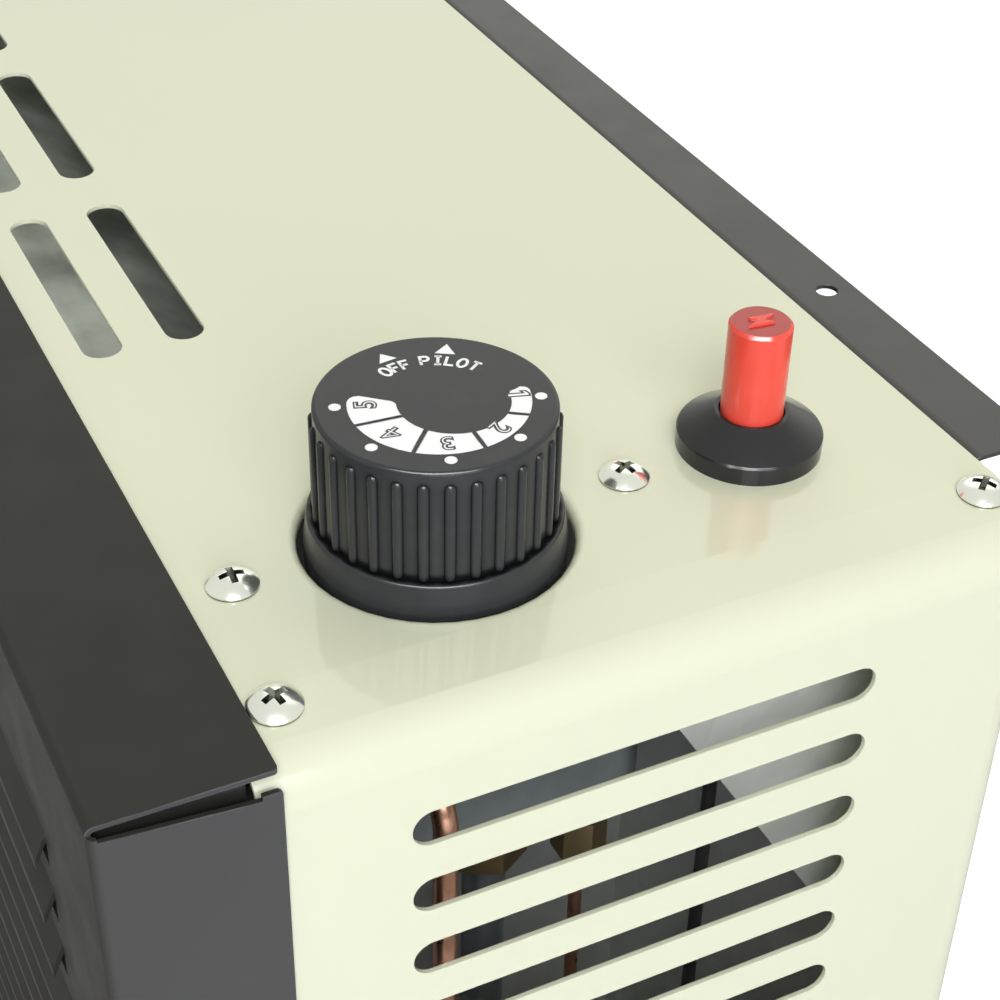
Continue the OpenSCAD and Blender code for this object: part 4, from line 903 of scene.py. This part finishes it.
@dataclass
class Dial:
    """Print on the gas knob's top: stops for off and pilot, and a band of five heat settings.

    Lengths are in millimetres from the knob's axis, angles in degrees from +X.

    Attributes:
        stops: The stops for off and for pilot.
        arrow_r: Radius of the arrowheads' feet.
        letter: Height of a letter.
        pen: Width of a letter's strokes.
        cuts: Angle of each end and divider of the band, at its outer and at its inner edge.
        band_out: Outer radius of the band at its wide and at its narrow end.
        hollow_r: Radius of the circle that bounds the band inwards.
        hollow_off: Distance of that circle's middle from the axis.
        hollow_way: Angle at which that middle lies.
        gap: Width of a divider.
        corner: Rounding of the band's wide and of its narrow end.
        most_trim: Largest share of the band's width that a rounding takes from each edge.
        steps: Number of parts that a field of the band is drawn in.
        digits: Angle and radius of each setting's number, from 1 up.
        dots: Angle and radius of each setting's dot, from 1 up.
        dot_r: Radius of a dot.
        ink: Thickness of the print.
        digit_h: Height of a number.
        plates: Name, growth of the outline and height in inks of a number's two plates.
        one_shape: Corners of the number 1, in a box one unit high round its middle.
        one_swell: Factor on the growth of the number 1.
    """

    stops: tuple[Stop, ...] = (OFF_STOP, PILOT_STOP)
    arrow_r: float = 16.0
    letter: float = 2.75
    pen: float = 0.58
    cuts: tuple[Point, ...] = ((-121, -116), (-85.4, -75.5), (-38, -35), (6.3, 9.6), (50.8, 49.2), (83, 81))
    band_out: Point = (15.8, 17.3)
    hollow_r: float = 10.3
    hollow_off: float = 3.2
    hollow_way: float = 65.0
    gap: float = 0.8
    corner: Point = (2.0, 1.5)
    most_trim: float = 0.45
    steps: int = 28
    digits: tuple[Point, ...] = ((73.3, 14.9), (28.3, 14.0), (-15.6, 13.4), (-60.6, 12.9), (-108.6, 12.6))
    dots: tuple[Point, ...] = ((70.6, 18.9), (27.7, 18.6), (-16.4, 18.4), (-62.0, 18.2), (-108.0, 18.0))
    dot_r: float = 1.12
    ink: float = 0.05
    digit_h: float = 3.9
    plates: tuple[tuple[str, float, float], ...] = (("outline", 0.05, 1.4), ("number", -0.022, 1.8))
    one_shape: tuple[Point, ...] = (
        (0.10, -0.5), (0.10, 0.5), (-0.06, 0.5), (-0.28, 0.36), (-0.28, 0.18), (-0.10, 0.28), (-0.10, -0.5),
    )
    one_swell: float = 1.4

    def band_radii(self, degrees: float) -> Point:
        """Work out how wide the band is at an angle.

        Args:
            degrees: The angle.

        Returns:
            The outer and the inner radius.
        """
        share = (degrees - self.cuts[0][0]) / (self.cuts[-1][0] - self.cuts[0][0])
        share = min(1.0, max(0.0, share))
        outer = self.band_out[0] + (self.band_out[1] - self.band_out[0]) * share
        turned = math.radians(degrees - self.hollow_way)
        across = self.hollow_off * math.sin(turned)
        inner = self.hollow_off * math.cos(turned) + math.sqrt(self.hollow_r**2 - across**2)
        return outer, inner

    def band(self, work: Flatwork) -> None:
        """Lay the five fields of the band.

        Args:
            work: The print to add to.
        """
        last = len(self.cuts) - 2
        for i, (start, end) in enumerate(zip(self.cuts, self.cuts[1:])):
            left: list[Vector] = []
            right: list[Vector] = []
            for k in range(self.steps + 1):
                t = k / self.steps
                out_a = start[0] + (end[0] - start[0]) * t
                in_a = start[1] + (end[1] - start[1]) * t
                outer = self.band_radii(out_a)[0]
                inner = self.band_radii(in_a)[1]
                length = abs(end[0] - start[0]) * math.pi / 180 * (outer + inner) / 2
                trim = 0.0
                ends = ((t * length, i == 0, self.corner[0]), ((1 - t) * length, i == last, self.corner[1]))
                for near, at_end, corner in ends:
                    if at_end and near < corner:
                        lack = 1 - near / corner
                        most = min(corner, (outer - inner) * self.most_trim)
                        trim = most * (1 - math.sqrt(1 - lack * lack))
                left.append(polar(inner + trim, in_a))
                right.append(polar(outer - trim, out_a))
            for edge in (left, right):
                inset = self.gap / 2 * MM
                if i > 0:
                    edge[0] += (edge[1] - edge[0]).normalized() * inset
                if i < last:
                    edge[-1] += (edge[-2] - edge[-1]).normalized() * inset
            work.ribbon(left, right)

    def words(self, work: Flatwork) -> None:
        """Lay the letters and arrowheads of the two stops.

        Args:
            work: The print to add to.
        """
        size = self.letter * MM
        for stop in self.stops:
            for char, angle in zip(stop.word, stop.letters):
                up = polar(1.0, angle).normalized()
                along = Vector((up.y, -up.x, 0.0))
                middle = polar(stop.radius, angle)
                for stroke in Glyph[char].value:
                    shifts = [(x - LETTER_MIDDLE[0], y - LETTER_MIDDLE[1]) for x, y in stroke]
                    points = [middle + (along * x + up * y) * size for x, y in shifts]
                    work.ribbon(*stroke_edges(points, self.pen * MM))
        for stop in self.stops:
            feet = [polar(self.arrow_r, stop.angle + side) for side in (-stop.half, stop.half)]
            work.prism([feet[0], polar(stop.tip, stop.angle), feet[1]])

    def one(self, carrier: Vector, swell: float, level: float, name: str) -> Piece:
        """Make the first setting's number, a bar with a short flag.

        Args:
            carrier: Middle of the knob's top.
            swell: How far the number's outline is grown, as a share of its height.
            level: Height of the plate's top above the knob's top, in millimetres.
            name: Name of the piece.

        Returns:
            The new object.
        """
        angle, radius = self.digits[0]
        turn = Matrix.Rotation(math.radians(angle - 90), 3, "Z")
        scale = self.digit_h * MM
        corners = [Vector((x, y, 0.0)) * scale for x, y in self.one_shape]
        ring: list[Vector] = []
        for i, p in enumerate(corners):
            before = (p - corners[i - 1]).normalized()
            after = (corners[(i + 1) % len(corners)] - p).normalized()
            sides = [Vector((w.y, -w.x, 0.0)) for w in (before, after)]
            middle = (sides[0] + sides[1]).normalized()
            ring.append(turn @ (p + middle * (swell * scale / max(MITRE, middle.dot(sides[0])))))
        work = Flatwork(carrier + polar(radius, angle), level * MM)
        work.prism(ring)
        return work.finish(name)

    def digit(self, number: int, carrier: Vector, swell: float, level: float, name: str) -> Piece:
        """Make one setting's number as a thin plate, its top pointing outwards.

        Args:
            number: The setting.
            carrier: Middle of the knob's top.
            swell: How far the number's outline is grown, as a share of its height.
            level: Height of the plate's top above the knob's top, in millimetres.
            name: Name of the piece.

        Returns:
            The new object.
        """
        if number == 1:
            return self.one(carrier, swell * self.one_swell, level, name)
        curve = bpy.data.curves.new(name, "FONT")
        curve.body = str(number)
        curve.align_x = "CENTER"
        curve.align_y = "CENTER"
        curve.offset = swell
        curve.resolution_u = 6
        curve.extrude = 0.5
        text = placed(name, curve)
        bpy.context.view_layer.update()
        graph = bpy.context.evaluated_depsgraph_get()
        data = bpy.data.meshes.new_from_object(text.evaluated_get(graph))
        bpy.data.objects.remove(text)
        bpy.data.curves.remove(curve)
        high = max(v.co.y for v in data.vertices)
        low = min(v.co.y for v in data.vertices)
        wide = max(v.co.x for v in data.vertices) + min(v.co.x for v in data.vertices)
        scale = self.digit_h * (1 + swell * 2) / (high - low) * MM
        angle, radius = self.digits[number - 1]
        turn = Matrix.Rotation(math.radians(angle - 90), 3, "Z")
        for v in data.vertices:
            flat = Vector((v.co.x - wide / 2, v.co.y - (high + low) / 2, 0.0)) * scale
            lift = Vector((0, 0, level * MM if v.co.z > 0 else 0.0))
            v.co = carrier + polar(radius, angle) + turn @ flat + lift
        return placed(name, data)


@dataclass
class Assembly:
    """Pieces that are built and dressed together.

    Attributes:
        box: Paintbox for the finishes.
    """

    box: Paintbox


@dataclass
class GasKnob(Assembly):
    """The ribbed gas knob with its print, its stem, its spring and the valve below.

    Attributes:
        dial: Print on the knob's top.
    """

    dial: Dial = field(default_factory=Dial)

    def build(self) -> None:
        """Lay the print on the knob's top."""
        low, high = (Vector(c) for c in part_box("control_knob"))
        top = Vector(((low.x + high.x) / 2, (low.y + high.y) / 2, high.z))
        ink = self.dial.ink * MM
        band = Flatwork(top, ink)
        self.dial.band(band)
        for angle, radius in self.dial.dots:
            centre = polar(radius, angle)
            band.prism([centre + polar(self.dial.dot_r, 360 * k / ROUND) for k in range(ROUND)])
        words = Flatwork(top, ink)
        self.dial.words(words)
        for piece in (band.finish("dial_band"), words.finish("dial_words")):
            self.print_piece(piece, PRINT_WHITE)
        for number in range(1, len(self.dial.digits) + 1):
            for (plate, swell, inks), finish in zip(self.dial.plates, (PRINT_DARK, PRINT_WHITE)):
                name = f"dial_{plate}_{number}"
                self.print_piece(self.dial.digit(number, top, swell, self.dial.ink * inks, name), finish)

    def print_piece(self, piece: Piece, finish: Moulding) -> None:
        """Give a printed piece its ink and set it on the knob.

        Args:
            piece: The printed piece.
            finish: Its ink.
        """
        self.box.paint(piece, finish)
        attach(piece, "knob")
        LOG.info("%s rides on the knob", piece.name)

    def dress(self) -> None:
        """Put the finishes on the knob, the stem and the valve."""
        self.box.nodes(KNOB_BLACK, "control_knob")
        self.box.nodes(BRASS, "valve_stem")
        self.box.nodes(ZINC, "spring_seat", "valve_screws")
        self.box.spring(ZINC, "knob_spring", "knob_push")
        self.box.nodes(CAST, "gas_valve")
        self.box.nodes(GALVANISED, "valve_bracket")


@dataclass
class Igniter(Assembly):
    """The push igniter: collar, button, spring, spark cartridge and lead.

    Attributes:
        sign_h: Height of the button's raised sign, in millimetres.
        dull_h: Height over the button's end that is still darker, in millimetres.
    """

    sign_h: float = 0.5
    dull_h: float = 0.1

    def dress(self) -> None:
        """Put the finishes on the igniter's pieces."""
        self.box.nodes(COLLAR_BLACK, "igniter_collar")
        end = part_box("igniter_button")[1][2] - self.sign_h * MM
        self.box.nodes(replace(BUTTON_RED, level=end + self.dull_h * MM), "igniter_button")
        self.box.nodes(ZINC, "igniter_nut")
        self.box.spring(ZINC, "igniter_spring", "button_push")
        self.box.nodes(CERAMIC, "igniter_cartridge")
        self.box.nodes(LEAD_RUBBER, "igniter_lead")


@dataclass
class Casing(Assembly):
    """The cream casing, the black front and rear, and the sheets inside.

    Attributes:
        mark_r: Inner and outer end of the pointer beside the knob, in millimetres from its axis.
        mark_angle: Angle of that pointer from +X, in degrees.
        mark_w: Width of that pointer in millimetres.
        mark_ink: Thickness of its print in millimetres.
    """

    mark_r: Point = (30.5, 34.5)
    mark_angle: float = OFF_STOP.angle
    mark_w: float = 1.1
    mark_ink: float = 0.05

    def build(self) -> None:
        """Print the pointer that the dial's stops are set against."""
        knob = [sum(c) / 2 for c in zip(*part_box("control_knob"))]
        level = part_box("cabinet_wrap")[1][2]
        work = Flatwork(Vector((knob[0], knob[1], level)), self.mark_ink * MM)
        points = [polar(r, self.mark_angle) for r in self.mark_r]
        work.ribbon(*stroke_edges(points, self.mark_w * MM))
        piece = work.finish("knob_pointer")
        self.box.paint(piece, PRINT_DARK)
        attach(piece, "heater")
        LOG.info("%s rides on the heater", piece.name)

    def dress(self) -> None:
        """Put the finishes on the sheets and their screws."""
        self.box.nodes(CREAM, "cabinet_wrap")
        self.box.nodes(FRONT_BLACK, "front_frame", "front_grille")
        self.box.nodes(BLACK, "rear_panel")
        self.box.nodes(CLOUDED, "top_deflector")
        self.box.nodes(
            GALVANISED, "base_pan", "hose_plate", "side_rails",
            "control_partition", "left_shield", "chamber_legs",
        )
        self.box.nodes(SCREW_ZINC, "top_screws", "base_screws")
        self.box.nodes(BLACK_ZINC, "frame_screws", "rear_screws")


class GasTrain(Assembly):
    """The gas inlet, the regulator and all the lines up to the valve and on to the burner."""

    def dress(self) -> None:
        """Put the finishes on the fittings and lines."""
        self.box.nodes(BRASS, "inlet_fitting", "orifice_holder")
        self.box.nodes(SHADED_BRASS, "tube_nuts")
        self.box.nodes(CAST, "gas_regulator", "burner_feed")
        self.box.nodes(COPPER, "pilot_tube", "thermocouple", "sensing_bulb")
        self.box.nodes(GALVANISED, "regulator_bracket", "inlet_tube")
        self.box.nodes(ZINC, "bulb_clips")


class Chamber(Assembly):
    """The combustion chamber with its burner, pilot and sight glass."""

    def dress(self) -> None:
        """Put the finishes on the chamber and what it holds."""
        self.box.nodes(FLUE_ENAMEL, "chamber_front", "chamber_back")
        self.box.nodes(
            ZINC, "main_burner", "burner_brackets", "pilot_bracket", "service_plate",
            "plate_screws", "glass_frame", "glass_screws",
        )
        self.box.nodes(BRASS, "pilot_burner")
        self.box.nodes(CERAMIC, "spark_electrode")
        self.box.nodes(FIBRE, "service_gasket", "glass_gasket")
        self.box.nodes(GLASS, "sight_glass")


class VentCollars(Assembly):
    """The fresh air box and the two collars at the rear."""

    def dress(self) -> None:
        """Put the finishes on the box and the collars."""
        self.box.nodes(GALVANISED, "air_box", "intake_collar", "intake_flange")
        self.box.nodes(ZINC, "flue_collar", "flue_flange")
        self.box.nodes(FIBRE, "vent_gasket")


# Studio


class Unseen(Enum):
    """Kinds of ray that can miss a lamp, by the setting that makes them."""

    CAMERA = "visible_camera"
    DIFFUSE = "visible_diffuse"
    GLOSSY = "visible_glossy"


class Aim(Enum):
    """Ways to aim a lamp at some pieces, as the light linking names them."""

    ALL_BUT = "EXCLUDE"
    ONLY = "INCLUDE"


@dataclass(frozen=True)
class SoftBox:
    """One soft box of the studio.

    Attributes:
        name: Name of the lamp.
        place: Where it hangs, in metres.
        size: Its width and height in metres.
        power: Its power in watts.
        colour: Colour of its light.
        unseen: Kind of ray that misses it, if one does.
        aim: Whether it lights only the pieces, or all but the pieces.
        pieces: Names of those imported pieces, with none for a lamp that lights all.
    """

    name: str
    place: Triple
    size: Point
    power: float
    colour: Colour = NEUTRAL
    unseen: Unseen | None = None
    aim: Aim = Aim.ALL_BUT
    pieces: tuple[str, ...] = ()

    def hang(self, heart: Triple) -> None:
        """Hang the lamp in the scene.

        Args:
            heart: Point that it is turned to, in metres.
        """
        data = bpy.data.lights.new(self.name, "AREA")
        data.shape = "RECTANGLE"
        data.size, data.size_y = self.size
        data.energy = self.power
        data.color = self.colour
        lamp = placed(self.name, data)
        lamp.location = self.place
        lamp.rotation_euler = (Vector(heart) - Vector(self.place)).to_track_quat("-Z", "Y").to_euler()
        if self.unseen is not None:
            setattr(lamp, self.unseen.value, False)
        if self.pieces:
            group = bpy.data.collections.new(f"{self.name}_pieces")
            for name in self.pieces:
                group.objects.link(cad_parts[name])
            for entry in group.collection_objects:
                entry.light_linking.link_state = self.aim.value
            lamp.light_linking.receiver_collection = group
        LOG.info("%s hung", self.name)


LAMPS = (
    SoftBox("right_side", (2.4, -0.4, 1.5), (1.8, 2.0), 47.0, COOL),
    SoftBox("upper_right", (1.32, -0.54, 1.68), (0.6, 0.6), 10.5, WARM),
    SoftBox("front_fill", (-0.8, -2.8, 1.3), (2.0, 1.6), 7.0, unseen=Unseen.GLOSSY),
    SoftBox("rear_fill", (0.8, 2.8, 1.2), (2.0, 1.6), 12.0, unseen=Unseen.GLOSSY),
    SoftBox(
        "glint_strip", (1.08, -0.47, 1.93), (1.6, 0.6), 95.0, unseen=Unseen.DIFFUSE,
        aim=Aim.ALL_BUT, pieces=("cabinet_wrap", "top_screws", "front_frame", "front_grille"),
    ),
    SoftBox(
        "flange_side", (2.2, 0.5, 0.32), (1.4, 0.5), 70.0, COOL, unseen=Unseen.CAMERA,
        aim=Aim.ONLY, pieces=("front_frame",),
    ),
)


@dataclass
class Studio:
    """Pale floor, soft light and the camera at the photograph's viewing angle.

    Attributes:
        eye: Place of the camera in metres.
        right: The camera's right.
        up: The camera's up.
        lens: Focal length in millimetres.
        sensor: Width of the sensor in millimetres.
        near: Nearest distance that the camera sees, in metres.
        floor_size: Side of the floor in metres.
        floor_hue: Colour of the floor.
        floor_rough: Lowest and highest roughness of the floor.
        speckle: Size of the floor's speckle in metres.
        glow: Light that the floor adds of itself in the camera's view.
        heart: Point that the lamps are turned to, in metres.
        ambient: Strength of the world's light.
        sky: Strength that the bright part of the sky adds.
        sky_way: Direction of the bright part of the sky.
        sky_spread: Cosines at which the bright part starts and is full.
        sky_hue: Colour of the world's light.
        walls: Least strength of the surroundings in mirror reflections.
    """

    eye: Triple = (0.5073, -0.1616, 0.8260)
    right: Triple = (0.43790, 0.89883, 0.01854)
    up: Triple = (-0.53899, 0.24597, 0.80560)
    lens: float = 72.317
    sensor: float = 36.0
    near: float = 0.01
    floor_size: float = 14.0
    floor_hue: Colour = (0.62, 0.62, 0.615)
    floor_rough: Point = (0.45, 0.55)
    speckle: float = 0.4
    glow: float = 0.6
    heart: Triple = (0.0, 0.0, 0.45)
    ambient: float = 0.22
    sky: float = 1.19
    sky_way: Triple = (-0.6, 0.5, 0.62)
    sky_spread: Point = (0.58, 0.95)
    sky_hue: Colour = (1.0, 1.0, 0.94)
    walls: float = 0.75

    def camera(self) -> None:
        """Set the camera where the photograph was taken."""
        data = bpy.data.cameras.new("photo_camera")
        data.lens = self.lens
        data.sensor_width = self.sensor
        data.clip_start = self.near
        eye = placed("photo_camera", data)
        right = Vector(self.right).normalized()
        up = Vector(self.up).normalized()
        back = right.cross(up)
        turn = Matrix((right, up, back)).transposed().to_4x4()
        eye.matrix_world = Matrix.Translation(self.eye) @ turn
        bpy.context.scene.camera = eye
        LOG.info("camera set")

    def floor(self) -> None:
        """Lay the pale floor."""
        half = self.floor_size / 2
        data = bpy.data.meshes.new("floor")
        corners = [(-half, -half, 0.0), (half, -half, 0.0), (half, half, 0.0), (-half, half, 0.0)]
        data.from_pydata(corners, [], [(0, 1, 2, 3)])
        piece = placed("floor", data)
        graph = Graph("studio_floor")
        path = graph.node("ShaderNodeLightPath")
        seen = graph.sums("MAXIMUM", path.outputs["Is Camera Ray"], path.outputs["Is Transmission Ray"])
        graph.surface(
            Base_Color=self.floor_hue,
            Roughness=graph.spread(graph.noise(self.speckle), *self.floor_rough),
            Emission_Color=NEUTRAL,
            Emission_Strength=graph.sums("MULTIPLY", seen, self.glow),
        )
        data.materials.append(graph.material)
        LOG.info("floor laid")

    def world(self) -> None:
        """Light the scene softly from all sides with a brighter sky, white in the camera's view."""
        world = bpy.data.worlds.new("studio_world")
        world.use_nodes = True
        tree = Tree(world.node_tree)
        toward = tree.node("ShaderNodeVectorMath", operation="DOT_PRODUCT")
        tree.link(tree.node("ShaderNodeTexCoord").outputs["Generated"], toward.inputs[0])
        toward.inputs[1].default_value = Vector(self.sky_way).normalized()
        brightest = self.ambient + self.sky
        sky = tree.spread(toward.outputs["Value"], self.ambient, brightest, *self.sky_spread)
        sky.node.interpolation_type = "SMOOTHSTEP"
        path = tree.node("ShaderNodeLightPath")
        mirrored = tree.sums("MULTIPLY", path.outputs["Is Glossy Ray"], self.walls)
        pick = tree.node("ShaderNodeMix")
        tree.link(path.outputs["Is Camera Ray"], pick.inputs["Factor"])
        tree.link(tree.sums("MAXIMUM", sky, mirrored), pick.inputs["A"])
        pick.inputs["B"].default_value = 1.0
        back = tree.node("ShaderNodeBackground")
        tree.link(pick.outputs["Result"], back.inputs["Strength"])
        tree.link(tree.tint(path.outputs["Is Camera Ray"], self.sky_hue, NEUTRAL), back.inputs["Color"])
        tree.link(back.outputs[0], tree.node("ShaderNodeOutputWorld").inputs["Surface"])
        bpy.context.scene.world = world
        LOG.info("sky set")

    def build(self) -> None:
        """Set camera, floor, world and lamps."""
        self.camera()
        self.floor()
        self.world()
        for lamp in LAMPS:
            lamp.hang(self.heart)
        bpy.context.scene.view_settings.view_transform = "Standard"


def main() -> None:
    """Build the stage and every sub-assembly in order."""
    logging.basicConfig(level=logging.INFO, format="%(name)s: %(message)s")
    Studio().build()
    box = Paintbox()
    casing = Casing(box)
    casing.dress()
    casing.build()
    knob = GasKnob(box)
    knob.dress()
    knob.build()
    for assembly in (Igniter(box), GasTrain(box), Chamber(box), VentCollars(box)):
        assembly.dress()


if __name__ == "__main__":
    main()
